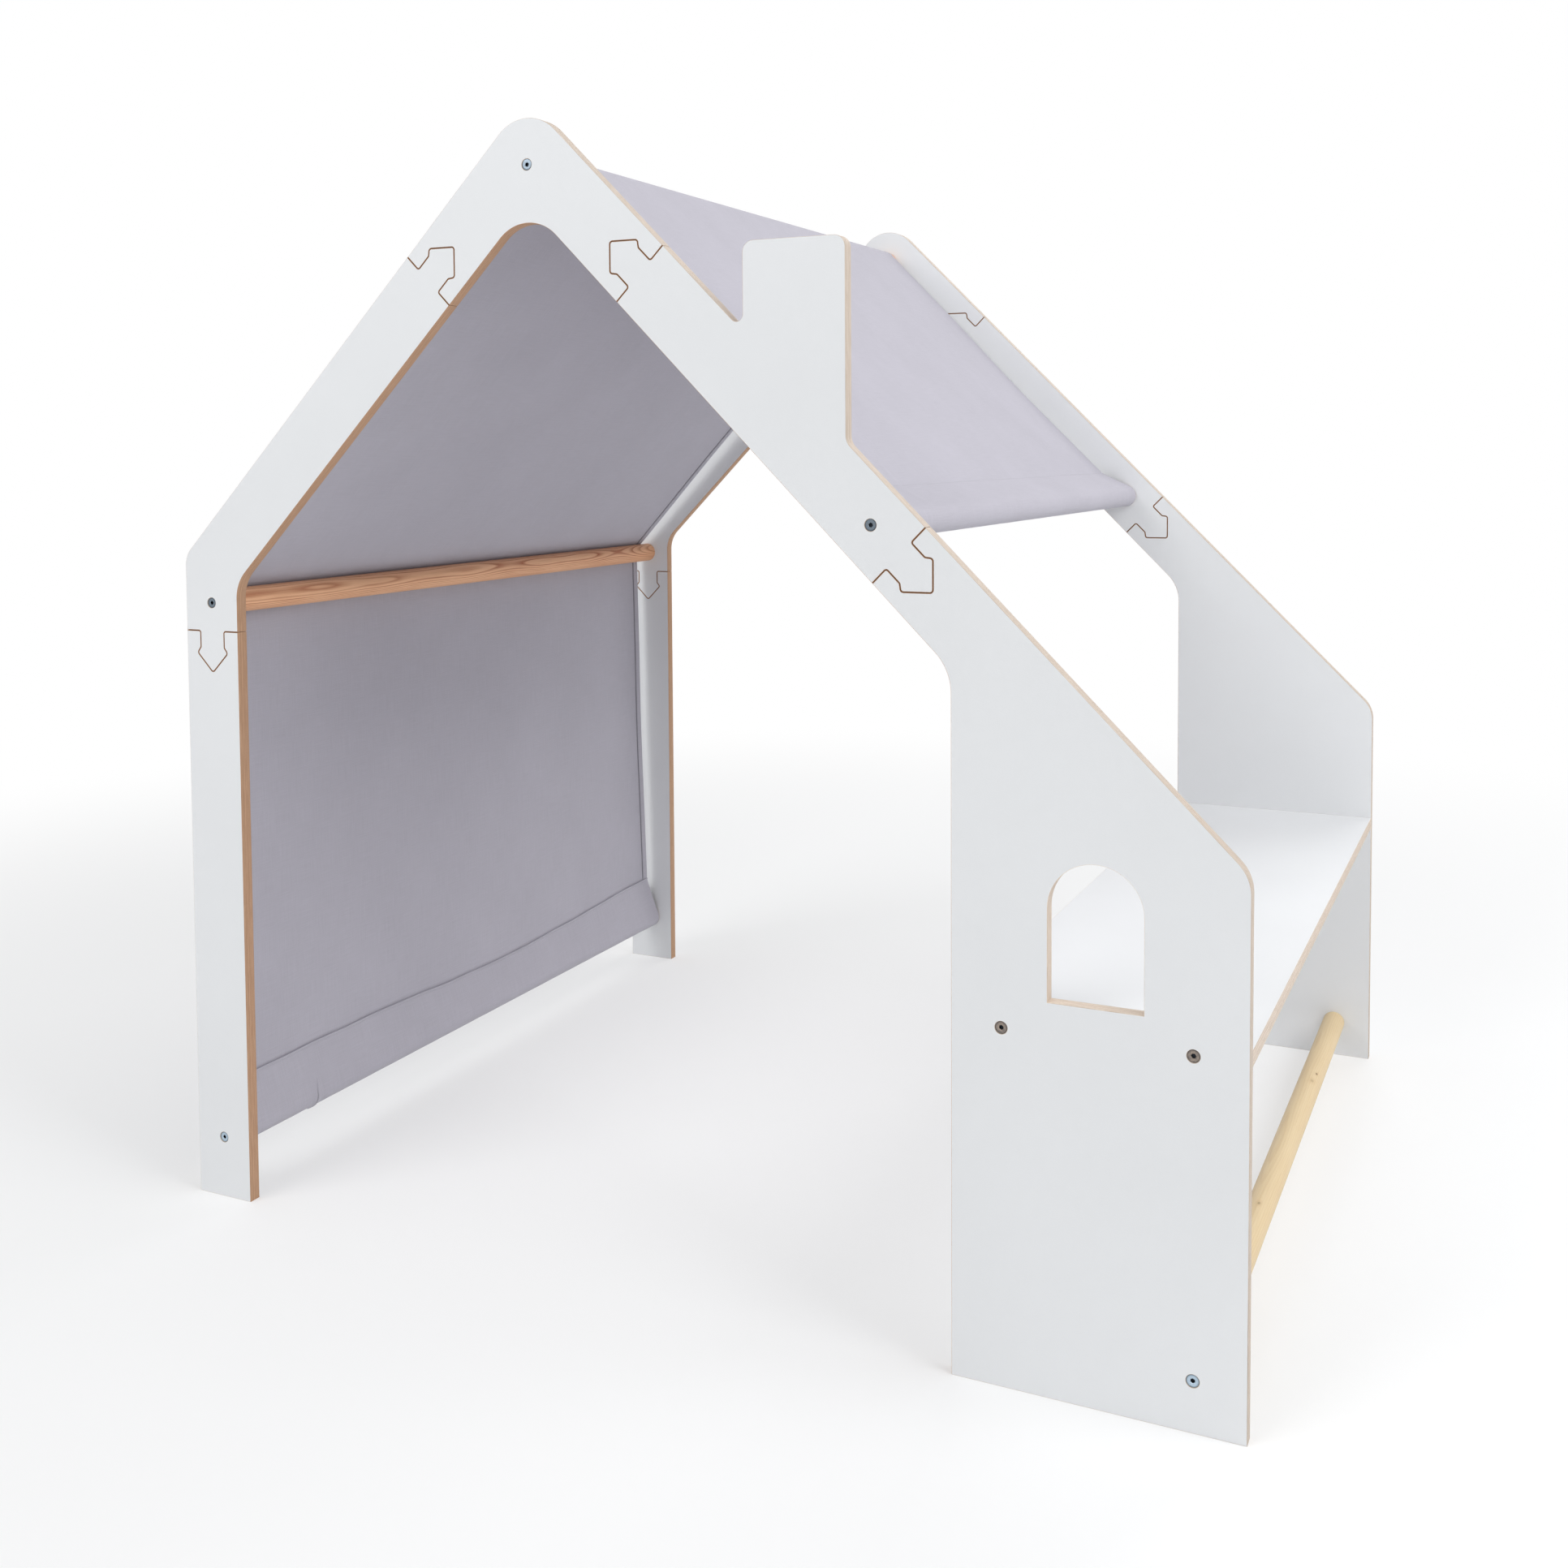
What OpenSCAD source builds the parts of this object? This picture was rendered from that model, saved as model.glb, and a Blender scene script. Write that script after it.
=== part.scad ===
// Indoor playhouse: two house-shaped plywood frames, five dowels, a counter and a cloth cover.
// Origin: middle of the footprint, on the floor. +X runs from the posts to the side panels,
// the front frame stands at -Y and +Z is up. All sizes in millimetres.

/* [Frames] */
// Overall width of a frame
frame_w = 1250; // [1200:10:1350]
// Thickness of the laminated plywood
ply_t = 15; // [12:1:18]
// Clear distance between the two frames
span = 1024; // [800:2:1200]
// Height of the sharp outer eave corner
eave_h = 778; // [720:2:840]
// Distance of the ridge from the outer edge of the post
ridge_x = 495.5; // [470:0.5:520]
// Pitch of both roof slopes in degrees
pitch = 45; // [43:0.5:47]
// Width of the posts
post_w = 79; // [72:1:90]
// Width of the rafters and of the apex pieces
rafter_w = 78; // [72:1:90]
// Width of the side panels
panel_w = 281; // [250:1:320]

/* [Frame corners] */
// Outer radius at the ridge
ridge_outer_r = 50; // [20:1:60]
// Inner radius at the ridge
ridge_inner_r = 50; // [20:1:60]
// Outer radius at the eave
eave_outer_r = 28; // [10:1:50]
// Inner radius at the eave
eave_inner_r = 45; // [20:1:60]
// Outer radius at the shoulder of the side panel
panel_outer_r = 40; // [20:1:60]
// Inner radius at the shoulder of the side panel
panel_inner_r = 55; // [20:1:70]

/* [Arrow joints] */
// Length of the left rafter's leg, from the eave corner down to the post
eave_leg = 89; // [80:1:110]
// Length of the apex piece along its left outer edge
apex_left_arm = 224; // [200:1:250]
// Length of the apex piece along its right outer edge
apex_right_arm = 232; // [200:1:250]
// Length of the side panel's stub up the slope, from its inner corner
panel_stub = 114; // [100:1:140]
// Width of the arrow's neck
neck_w = 36; // [28:1:40]
// Straight length of the arrow's neck
neck_l = 20; // [14:1:26]
// Width across the arrow's barbs
barb_w = 46; // [42:1:56]
// Length over which the neck flares to the barbs
flare_l = 6.5; // [4:0.5:10]
// Corner radius of the arrow and of its socket
joint_r = 3; // [1:0.5:4]
// Saw gap all round the arrow
joint_gap = 0.5; // [0.2:0.1:0.8]

/* [Chimney] */
// Distance of the chimney's left side from the ridge
chimney_offset = 254.5; // [240:0.5:280]
// Width of the chimney
chimney_w = 111.5; // [90:0.5:130]
// Height of the chimney's top above the floor
chimney_top = 1109; // [1080:1:1160]
// Corner radius of the chimney's top
chimney_r = 12; // [4:1:25]
// Radius at the bottom of the notch beside the chimney
notch_r = 7; // [3:0.5:9]
// Radius where the chimney's right side meets the slope
chimney_foot_r = 16; // [5:1:40]

/* [Window] */
// Width of the arched window
window_w = 91; // [70:1:120]
// Height of the window from sill to crown
window_h = 135; // [110:1:150]
// Height of the sill above the counter
sill_rise = 23; // [5:1:40]

/* [Counter] */
// Height of the counter's upper face
table_h = 358; // [320:1:380]
// Distance of the counter's bolts from the edges of the side panel
table_bolt_inset = 50; // [35:1:70]

/* [Dowels] */
// Diameter of the dowels
dowel_d = 30; // [26:1:36]
// Chamfer round the dowels' ends
dowel_chamfer = 1; // [0.5:0.5:2]
// Depth of the ridge dowel's axis below the sharp ridge corner
ridge_drop = 69.5; // [64:0.5:76]
// Depth of the eave dowel's axis below the sharp eave corner
eave_drop = 55.5; // [50:0.5:62]
// Height of the wall hem dowel's axis
wall_hem_h = 73; // [60:1:120]
// Distance of the roof hem dowel's axis up the slope from the panel's stub
roof_hem_up = 41; // [36:1:90]
// Distance of the footrest's axis from the floor and from the panel's outer edge
footrest_inset = 49; // [40:1:80]

/* [Fasteners] */
// Diameter of the bolts' shanks
bolt_d = 6; // [5:0.5:7]
// Diameter of the countersunk bolt heads
bolt_head_d = 12; // [11:0.5:13]
// Depth of the cylindrical rim of a bolt head
bolt_rim = 0.6; // [0.3:0.1:1]
// Length of the bolts past the frame
bolt_reach = 32; // [29:1:40]
// Width across the flats of the hexagon sockets
hex_af = 4; // [3:0.5:4.5]
// Depth of the hexagon sockets
hex_depth = 3; // [2:0.5:3.5]
// Clearance round the bolts
bolt_gap = 0.2; // [0.1:0.05:0.3]
// Diameter of the threaded inserts in the dowels' ends
insert_d = 10; // [9:0.5:12]
// Length of the threaded inserts
insert_l = 25; // [15:1:28]
// Diameter of the counter's barrel nuts
nut_d = 10; // [9:0.5:11]
// Length of the barrel nuts
nut_l = 9; // [8.5:0.5:10]
// Distance of the barrel nuts from the counter's ends
nut_inset = 24; // [16:1:25]
// Width and depth of the barrel nuts' screwdriver slots
slot = 1.2; // [0.8:0.1:1.2]
// Clearance round the inserts and the barrel nuts
nut_gap = 0.1; // [0.05:0.05:0.2]

/* [Cloth cover] */
// Thickness of the cloth
cloth_t = 1.2; // [0.8:0.1:2]
// Clearance between the cloth and the dowels
cloth_clear = 0.3; // [0.2:0.1:0.5]
// Distance of the cloth's side edges from the frames
cloth_gap = 14; // [6:1:40]
// Distance of the hem sleeves' ends from the frames
sleeve_gap = 5; // [2:1:30]
// Distance of the hem seams from the axes of their dowels
sleeve_l = 67; // [50:1:90]

/* [Hidden] */
$fn = 96;

LAMINATE = "#eef0f1";
PINE = "#d59a63";
BIRCH = "#e4cb98";
CLOTH = "#bdb7c8";
ZINC = "#b9bec6";

// Main points of a frame's outline, x from the post's outer edge and y up from the floor
ridge = [ridge_x, eave_h + ridge_x * tan(pitch)];
left_up = [cos(pitch), sin(pitch)];
left_out = [-sin(pitch), cos(pitch)];
right_up = [-cos(pitch), sin(pitch)];
right_out = [sin(pitch), cos(pitch)];
panel_x = frame_w - panel_w;
rafter_drop = rafter_w / cos(pitch);
inner_ridge = ridge - [0, rafter_drop];
chimney_x = ridge_x + chimney_offset;

function left_edge(x) = eave_h + x * tan(pitch);
function right_edge(x) = ridge[1] - (x - ridge_x) * tan(pitch);
function on_right_edge(x) = [x, right_edge(x)];

// Centres of the joints' shoulders, on the middle lines of the posts and rafters
panel_run = (panel_x - ridge_x + rafter_w * sin(pitch)) / cos(pitch) - panel_stub;
post_joint = [post_w / 2, eave_h - eave_leg];
apex_left_joint = ridge - left_up * apex_left_arm - left_out * rafter_w / 2;
apex_right_joint = ridge - right_up * apex_right_arm - right_out * rafter_w / 2;
panel_joint = ridge - right_up * panel_run - right_out * rafter_w / 2;

// Axes of the dowels and of the counter's bolts
ridge_axis = ridge - [0, ridge_drop];
eave_axis = [post_w / 2, eave_h - eave_drop];
wall_hem_axis = [post_w / 2, wall_hem_h];
roof_hem_axis = panel_joint + right_up * roof_hem_up;
footrest_axis = [frame_w - footrest_inset, footrest_inset];
dowel_axes = [ridge_axis, eave_axis, wall_hem_axis, roof_hem_axis, footrest_axis];
table_bolt_h = table_h - ply_t / 2;
table_bolt_axes = [
    [panel_x + table_bolt_inset, table_bolt_h],
    [frame_w - table_bolt_inset, table_bolt_h]
];

// Y of the frames' inner faces
front_y = -span / 2;
rear_y = span / 2;
// Overshoot of a cut past the face that it opens
eps = 0.01;
// How far an arc stands past the straight lines that it joins, so that they cross cleanly
ease = 0.02;

// Plane geometry

function unit(v) = v / norm(v);
function cross_of(a, b) = a[0] * b[1] - a[1] * b[0];
function item(list, i) = list[(i + len(list)) % len(list)];

// 1 where the outline turns left at point i, -1 where it turns right
function turn(pts, i) = sign(cross_of(pts[i] - item(pts, i - 1), item(pts, i + 1) - pts[i]));

// Outward normal of the edge that leaves point i of an anticlockwise outline
function edge_out(pts, i) = let (d = unit(item(pts, i + 1) - item(pts, i))) [d[1], -d[0]];

// An anticlockwise outline with every edge moved out by the same distance
function grown(pts, by) = [
    for (i = [0 : len(pts) - 1])
        let (a = edge_out(pts, i - 1), b = edge_out(pts, i)) pts[i] + by * (a + b) / (1 + a * b)
];

// Half the angle at point i, and the places where a circle of radius r touches the edges beside it
function half_angle(pts, i) =
    acos(unit(item(pts, i - 1) - pts[i]) * unit(item(pts, i + 1) - pts[i])) / 2;
function touch(pts, i, towards, r) = pts[i] + unit(item(pts, towards) - pts[i]) * r / tan(half_angle(pts, i));
function bisector(pts, i) = unit(unit(item(pts, i - 1) - pts[i]) + unit(item(pts, i + 1) - pts[i]));

// The circle that rounds point i
module corner_circle(pts, i, r) {
    translate(pts[i] + bisector(pts, i) * r / sin(half_angle(pts, i)))
        circle(r + ease);
}

// What rounding cuts away at an outward corner
module corner_patch(pts, i, r) {
    difference() {
        polygon([touch(pts, i, i - 1, r), pts[i] - bisector(pts, i) * r, touch(pts, i, i + 1, r)]);
        corner_circle(pts, i, r);
    }
}

// An anticlockwise outline whose corners are rounded, each by its own radius.
// An inward corner is first filled up to its chord, and the circle then cuts the fillet.
module rounded_outline(pts, radii) {
    last = len(pts) - 1;
    difference() {
        polygon([
            for (i = [0 : last])
                each radii[i] > 0 && turn(pts, i) < 0
                    ? [touch(pts, i, i - 1, radii[i]), touch(pts, i, i + 1, radii[i])]
                    : [pts[i]]
        ]);
        for (i = [0 : last])
            if (radii[i] > 0)
                if (turn(pts, i) < 0)
                    corner_circle(pts, i, radii[i]);
                else
                    corner_patch(pts, i, radii[i]);
    }
}

// Frame outlines

// The whole outline of a frame, anticlockwise from the post's outer foot
module frame_outline(with_chimney) {
    chimney_right = chimney_x + chimney_w;
    chimney_pts = [
        on_right_edge(chimney_right), [chimney_right, chimney_top],
        [chimney_x, chimney_top], on_right_edge(chimney_x)
    ];
    chimney_radii = [chimney_foot_r, chimney_r, chimney_r, notch_r];
    outer_right = [[frame_w, 0], on_right_edge(frame_w)];
    outer_left = [ridge, [0, eave_h], [0, 0]];
    inner = [
        [post_w, 0], [post_w, left_edge(post_w) - rafter_drop], inner_ridge,
        [panel_x, right_edge(panel_x) - rafter_drop], [panel_x, 0]
    ];
    rounded_outline(
        concat(outer_right, with_chimney ? chimney_pts : [], outer_left, inner),
        concat([0, panel_outer_r], with_chimney ? chimney_radii : [], [ridge_outer_r, eave_outer_r, 0],
            [0, eave_inner_r, ridge_inner_r, panel_inner_r, 0])
    );
}

// Everything on the male side of a joint: the half plane behind its shoulder, and the arrow
module joint_side(centre, heading, gap = 0) {
    reach = frame_w / 2;
    barb_x = neck_l + flare_l;
    side = [
        [-reach, -reach], [0, -reach], [0, -neck_w / 2], [neck_l, -neck_w / 2], [barb_x, -barb_w / 2],
        [barb_x + barb_w / 2, 0],
        [barb_x, barb_w / 2], [neck_l, neck_w / 2], [0, neck_w / 2], [0, reach], [-reach, reach]
    ];
    radii = [for (i = [0 : len(side) - 1]) norm(side[i]) < reach / 2 ? joint_r + gap * turn(side, i) : 0];
    translate(centre)
        rotate(heading)
            rounded_outline(grown(side, gap), radii);
}

module post_side(gap = 0) joint_side(post_joint, -90, gap);
module apex_left_side(gap = 0) joint_side(apex_left_joint, pitch, gap);
module apex_right_side(gap = 0) joint_side(apex_right_joint, 180 - pitch, gap);
module panel_side(gap = 0) joint_side(panel_joint, -pitch, gap);

module left_post_outline() {
    difference() {
        square([post_w, post_joint[1]]);
        post_side(joint_gap);
    }
}

module left_rafter_outline() {
    intersection() {
        frame_outline(false);
        post_side();
        apex_left_side();
    }
}

module apex_outline() {
    difference() {
        frame_outline(false);
        apex_left_side(joint_gap);
        apex_right_side(joint_gap);
        square([frame_w, apex_left_joint[1] - rafter_w]);
    }
}

module right_rafter_outline(with_chimney) {
    intersection() {
        frame_outline(with_chimney);
        apex_right_side();
        panel_side();
    }
}

module side_panel_outline() {
    difference() {
        frame_outline(false);
        panel_side(joint_gap);
        square([ridge_x, ridge[1]]);
        translate(inner_ridge - [rafter_w, rafter_w])
            square([2 * rafter_w, 2 * rafter_w + rafter_drop]);
    }
}

module window_outline() {
    translate([panel_x + panel_w / 2, table_h + sill_rise]) {
        translate([-window_w / 2, 0])
            square([window_w, window_h - window_w / 2]);
        translate([0, window_h - window_w / 2])
            circle(d = window_w);
    }
}

// Placing in the row frame

// Stands a plane outline up as a board whose rear face is at the given y
module board(rear_face_y, thickness = ply_t) {
    translate([-frame_w / 2, rear_face_y, 0])
        rotate([90, 0, 0])
            linear_extrude(thickness)
                children();
}

module front_board() board(front_y) children();
module rear_board() board(rear_y + ply_t) children();

// Turns a child that is built along +Z to run inwards from a frame's outer face, at each axis
module from_front(axes) {
    for (axis = axes)
        translate([axis[0] - frame_w / 2, front_y - ply_t, axis[1]])
            rotate([-90, 0, 0])
                children();
}

module from_rear(axes) {
    for (axis = axes)
        translate([axis[0] - frame_w / 2, rear_y + ply_t, axis[1]])
            rotate([90, 0, 0])
                children();
}

// Fasteners

// Half section of a countersunk bolt, grown by a gap to make its hole
module bolt_section(gap = 0) {
    head_r = bolt_head_d / 2 + gap;
    shank_r = bolt_d / 2 + gap;
    cone = (bolt_head_d - bolt_d) / 2;
    polygon([
        [0, 0], [head_r, 0], [head_r, bolt_rim], [shank_r, bolt_rim + cone],
        [shank_r, ply_t + bolt_reach + gap], [0, ply_t + bolt_reach + gap]
    ]);
}

module bolt() {
    difference() {
        rotate_extrude()
            bolt_section();
        translate([0, 0, -eps])
            cylinder(d = hex_af / cos(30), h = hex_depth + eps, $fn = 6);
    }
}

module bolt_hole() {
    rotate_extrude()
        bolt_section(bolt_gap);
}

module insert() {
    translate([0, 0, ply_t])
        difference() {
            cylinder(d = insert_d, h = insert_l);
            translate([0, 0, -eps])
                cylinder(d = bolt_d + 2 * bolt_gap, h = insert_l + 2 * eps);
        }
}

module insert_hole() {
    translate([0, 0, ply_t - eps])
        cylinder(d = insert_d + 2 * nut_gap, h = insert_l + eps);
}

// A barrel nut, standing across its bolt at the counter's end
module barrel_nut() {
    translate([0, 0, ply_t + nut_inset])
        difference() {
            rotate([90, 0, 0])
                cylinder(d = nut_d, h = nut_l, center = true);
            cylinder(d = bolt_d + 2 * bolt_gap, h = 2 * nut_d, center = true);
            translate([0, nut_l / 2, 0])
                cube([slot, 2 * slot, 2 * nut_d], center = true);
        }
}

// Frame boards

module front_left_post() {
    color(LAMINATE)
        difference() {
            front_board() left_post_outline();
            from_front([wall_hem_axis]) bolt_hole();
        }
}

module rear_left_post() {
    color(LAMINATE)
        difference() {
            rear_board() left_post_outline();
            from_rear([wall_hem_axis]) bolt_hole();
        }
}

module front_left_rafter() {
    color(LAMINATE)
        difference() {
            front_board() left_rafter_outline();
            from_front([eave_axis]) bolt_hole();
        }
}

module rear_left_rafter() {
    color(LAMINATE)
        difference() {
            rear_board() left_rafter_outline();
            from_rear([eave_axis]) bolt_hole();
        }
}

module front_apex() {
    color(LAMINATE)
        difference() {
            front_board() apex_outline();
            from_front([ridge_axis]) bolt_hole();
        }
}

module rear_apex() {
    color(LAMINATE)
        difference() {
            rear_board() apex_outline();
            from_rear([ridge_axis]) bolt_hole();
        }
}

module front_right_rafter() {
    color(LAMINATE)
        difference() {
            front_board() right_rafter_outline(true);
            from_front([roof_hem_axis]) bolt_hole();
        }
}

module rear_right_rafter() {
    color(LAMINATE)
        difference() {
            rear_board() right_rafter_outline(false);
            from_rear([roof_hem_axis]) bolt_hole();
        }
}

module front_side_panel() {
    color(LAMINATE)
        difference() {
            front_board()
                difference() {
                    side_panel_outline();
                    window_outline();
                }
            from_front(concat([footrest_axis], table_bolt_axes)) bolt_hole();
        }
}

module rear_side_panel() {
    color(LAMINATE)
        difference() {
            rear_board() side_panel_outline();
            from_rear(concat([footrest_axis], table_bolt_axes)) bolt_hole();
        }
}

// Counter

module nut_hole() {
    depth = ply_t / 2 + nut_l / 2;
    translate([0, ply_t / 2 - depth + eps, ply_t + nut_inset])
        rotate([-90, 0, 0])
            cylinder(d = nut_d + 2 * nut_gap, h = depth);
}

module table_top() {
    color(LAMINATE)
        difference() {
            translate([panel_x - frame_w / 2, front_y, table_h - ply_t])
                cube([panel_w, span, ply_t]);
            from_front(table_bolt_axes) {
                bolt_hole();
                nut_hole();
            }
            from_rear(table_bolt_axes) {
                bolt_hole();
                rotate(180) nut_hole();
            }
        }
}

// Dowels

module dowel(axis) {
    r = dowel_d / 2;
    end = dowel_chamfer;
    difference() {
        translate([axis[0] - frame_w / 2, front_y, axis[1]])
            rotate([-90, 0, 0])
                rotate_extrude()
                    polygon([[0, 0], [r - end, 0], [r, end], [r, span - end], [r - end, span], [0, span]]);
        from_front([axis]) {
            bolt_hole();
            insert_hole();
        }
        from_rear([axis]) {
            bolt_hole();
            insert_hole();
        }
    }
}

module ridge_dowel() color(PINE) dowel(ridge_axis);
module eave_dowel() color(PINE) dowel(eave_axis);
module wall_hem_dowel() color(PINE) dowel(wall_hem_axis);
module roof_hem_dowel() color(PINE) dowel(roof_hem_axis);
module footrest_dowel() color(BIRCH) dowel(footrest_axis);

// Bolts, inserts and nuts

module front_dowel_bolts() color(ZINC) from_front(dowel_axes) bolt();
module rear_dowel_bolts() color(ZINC) from_rear(dowel_axes) bolt();
module front_table_bolts() color(ZINC) from_front(table_bolt_axes) bolt();
module rear_table_bolts() color(ZINC) from_rear(table_bolt_axes) bolt();
module front_dowel_inserts() color(ZINC) from_front(dowel_axes) insert();
module rear_dowel_inserts() color(ZINC) from_rear(dowel_axes) insert();

module table_barrel_nuts() {
    color(ZINC) {
        from_front(table_bolt_axes) barrel_nut();
        from_rear(table_bolt_axes) rotate(180) barrel_nut();
    }
}

// Cloth cover

cloth_in = dowel_d / 2 + cloth_clear;
cloth_mid = cloth_in + cloth_t / 2;

// Unit vector square to a line, to the left of its direction
function left_of(d) = [-d[1], d[0]];

// Direction from a point past a dowel at the cloth's radius, on its left (1) or its right (-1)
function tangent_dir(from, axis, side) =
    let (d = axis - from, a = atan2(d[1], d[0]) + side * asin(cloth_mid / norm(d))) [cos(a), sin(a)];

// The wall rises from its hem dowel and the roof runs down to its hem dowel, both in line with the axes
wall_dir = tangent_dir(wall_hem_axis, eave_axis, 1);
slope_dir = unit(ridge_axis - eave_axis);
roof_dir = -tangent_dir(roof_hem_axis, ridge_axis, -1);

// Everything under the cloth's surface at the given distance from its middle layer, down to the
// sleeves' seams or past them
module under_cloth(offset_out, past = 0) {
    r = cloth_mid + offset_out;
    line_r = r - ease;
    wall_out = left_of(wall_dir);
    slope_out = left_of(slope_dir);
    roof_out = left_of(roof_dir);
    wall_foot = wall_hem_axis + wall_dir * (sleeve_l - past);
    roof_foot = roof_hem_axis - roof_dir * (sleeve_l - past);
    inwards = ridge_x / 2;
    polygon([
        wall_foot + wall_out * offset_out, eave_axis + wall_out * line_r, eave_axis + slope_out * line_r,
        ridge_axis + slope_out * line_r, ridge_axis + roof_out * line_r, roof_foot + roof_out * offset_out,
        roof_foot - roof_out * inwards, wall_foot - wall_out * inwards
    ]);
    for (axis = [eave_axis, ridge_axis])
        translate(axis)
            circle(r);
}

// The teardrop that a hem sleeve's layer makes round its dowel
module sleeve_outline(axis, towards, offset_out) {
    r = cloth_mid + offset_out;
    half = asin(cloth_mid / sleeve_l);
    side = left_of(towards);
    translate(axis) {
        circle(r);
        polygon([
            towards * r / sin(half),
            (towards * sin(half) + side * cos(half)) * (r - ease),
            (towards * sin(half) - side * cos(half)) * (r - ease)
        ]);
    }
}

module sleeve(axis, towards) {
    difference() {
        sleeve_outline(axis, towards, cloth_t / 2);
        sleeve_outline(axis, towards, -cloth_t / 2);
    }
}

module fabric_cover() {
    color(CLOTH) {
        board(rear_y - cloth_gap, span - 2 * cloth_gap)
            difference() {
                under_cloth(cloth_t / 2);
                under_cloth(-cloth_t / 2, past = cloth_t);
            }
        board(rear_y - sleeve_gap, span - 2 * sleeve_gap) {
            sleeve(wall_hem_axis, wall_dir);
            sleeve(roof_hem_axis, -roof_dir);
        }
    }
}

front_left_post();
front_left_rafter();
front_apex();
front_right_rafter();
front_side_panel();
rear_left_post();
rear_left_rafter();
rear_apex();
rear_right_rafter();
rear_side_panel();
table_top();
ridge_dowel();
eave_dowel();
wall_hem_dowel();
roof_hem_dowel();
footrest_dowel();
fabric_cover();
front_dowel_bolts();
rear_dowel_bolts();
front_table_bolts();
rear_table_bolts();
front_dowel_inserts();
rear_dowel_inserts();
table_barrel_nuts();
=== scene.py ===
"""Finishes of an indoor playhouse: laminated plywood frames, turned dowels, a counter and a cloth cover."""

import math

import bmesh
import bpy
import numpy as np
from mathutils import Matrix, Vector


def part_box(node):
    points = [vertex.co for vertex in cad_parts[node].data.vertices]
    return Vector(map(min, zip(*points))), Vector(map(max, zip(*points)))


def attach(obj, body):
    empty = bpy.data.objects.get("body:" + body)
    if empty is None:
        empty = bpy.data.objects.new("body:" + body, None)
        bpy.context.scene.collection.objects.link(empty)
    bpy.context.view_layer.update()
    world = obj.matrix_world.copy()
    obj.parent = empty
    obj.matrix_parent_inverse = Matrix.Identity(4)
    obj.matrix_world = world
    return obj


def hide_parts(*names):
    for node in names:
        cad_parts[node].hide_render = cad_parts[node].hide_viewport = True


bl_info = {
    "name": "Playhouse",
    "version": (1, 0, 0),
    "blender": (4, 5, 0),
    "location": "View3D > Sidebar > Playhouse",
    "description": "Builds the boards, dowels, bolts, cloth and studio of an indoor playhouse",
    "category": "Add Mesh",
}

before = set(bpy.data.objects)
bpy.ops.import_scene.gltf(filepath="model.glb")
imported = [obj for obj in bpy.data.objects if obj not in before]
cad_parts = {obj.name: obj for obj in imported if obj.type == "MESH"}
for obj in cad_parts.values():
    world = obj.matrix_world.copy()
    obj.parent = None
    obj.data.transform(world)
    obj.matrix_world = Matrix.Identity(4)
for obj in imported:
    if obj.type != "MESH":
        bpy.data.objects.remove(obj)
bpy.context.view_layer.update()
BODY = "root"

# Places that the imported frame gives, in metres; the front of the playhouse looks along -Y
POST_LOW, POST_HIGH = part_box("front_left_post")
REAR_LOW, REAR_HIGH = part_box("rear_left_post")
COUNTER_LOW, COUNTER_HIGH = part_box("table_top")
DOWEL_LOW, DOWEL_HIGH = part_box("eave_dowel")
PLY_T = POST_HIGH.y - POST_LOW.y
SPAN = DOWEL_HIGH.y - DOWEL_LOW.y
DOWEL_R = (DOWEL_HIGH.z - DOWEL_LOW.z) / 2


def middle(node):
    """X and Z of the middle of a node's box."""
    low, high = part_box(node)
    return np.array(((low.x + high.x) / 2, (low.z + high.z) / 2))


RIDGE_AXIS = middle("ridge_dowel")
EAVE_AXIS = middle("eave_dowel")
WALL_HEM_AXIS = middle("wall_hem_dowel")
ROOF_HEM_AXIS = middle("roof_hem_dowel")
FOOTREST_AXIS = middle("footrest_dowel")
DOWEL_AXES = (RIDGE_AXIS, EAVE_AXIS, WALL_HEM_AXIS, ROOF_HEM_AXIS, FOOTREST_AXIS)
# How far a painted reflection brightens the plating of each dowel's bolts, from the dull zinc (0) to the
# bright zinc (1)
BOLT_PAINTED_REFLECTION = (0.25, 0.0, 1.0, 0.0, 1.0)
WHITE = (1.0, 1.0, 1.0, 1.0)


# Properties

def length(name, description, default):
    """A length in metres."""
    return bpy.props.FloatProperty(
        name=name, description=description, default=default, unit="LENGTH", subtype="DISTANCE", precision=4)


def angle(name, description, degrees):
    """An angle, written in degrees."""
    return bpy.props.FloatProperty(
        name=name, description=description, default=math.radians(degrees), subtype="ANGLE")


def number(name, description, default):
    """A plain number."""
    return bpy.props.FloatProperty(name=name, description=description, default=default, precision=3)


def colour(name, description, default):
    """A linear colour."""
    return bpy.props.FloatVectorProperty(
        name=name, description=description, default=default, size=3, min=0.0, max=1.0, subtype="COLOR")


def place(name, description, default):
    """A point in metres."""
    return bpy.props.FloatVectorProperty(
        name=name, description=description, default=default, size=3, subtype="TRANSLATION", unit="LENGTH")


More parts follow.
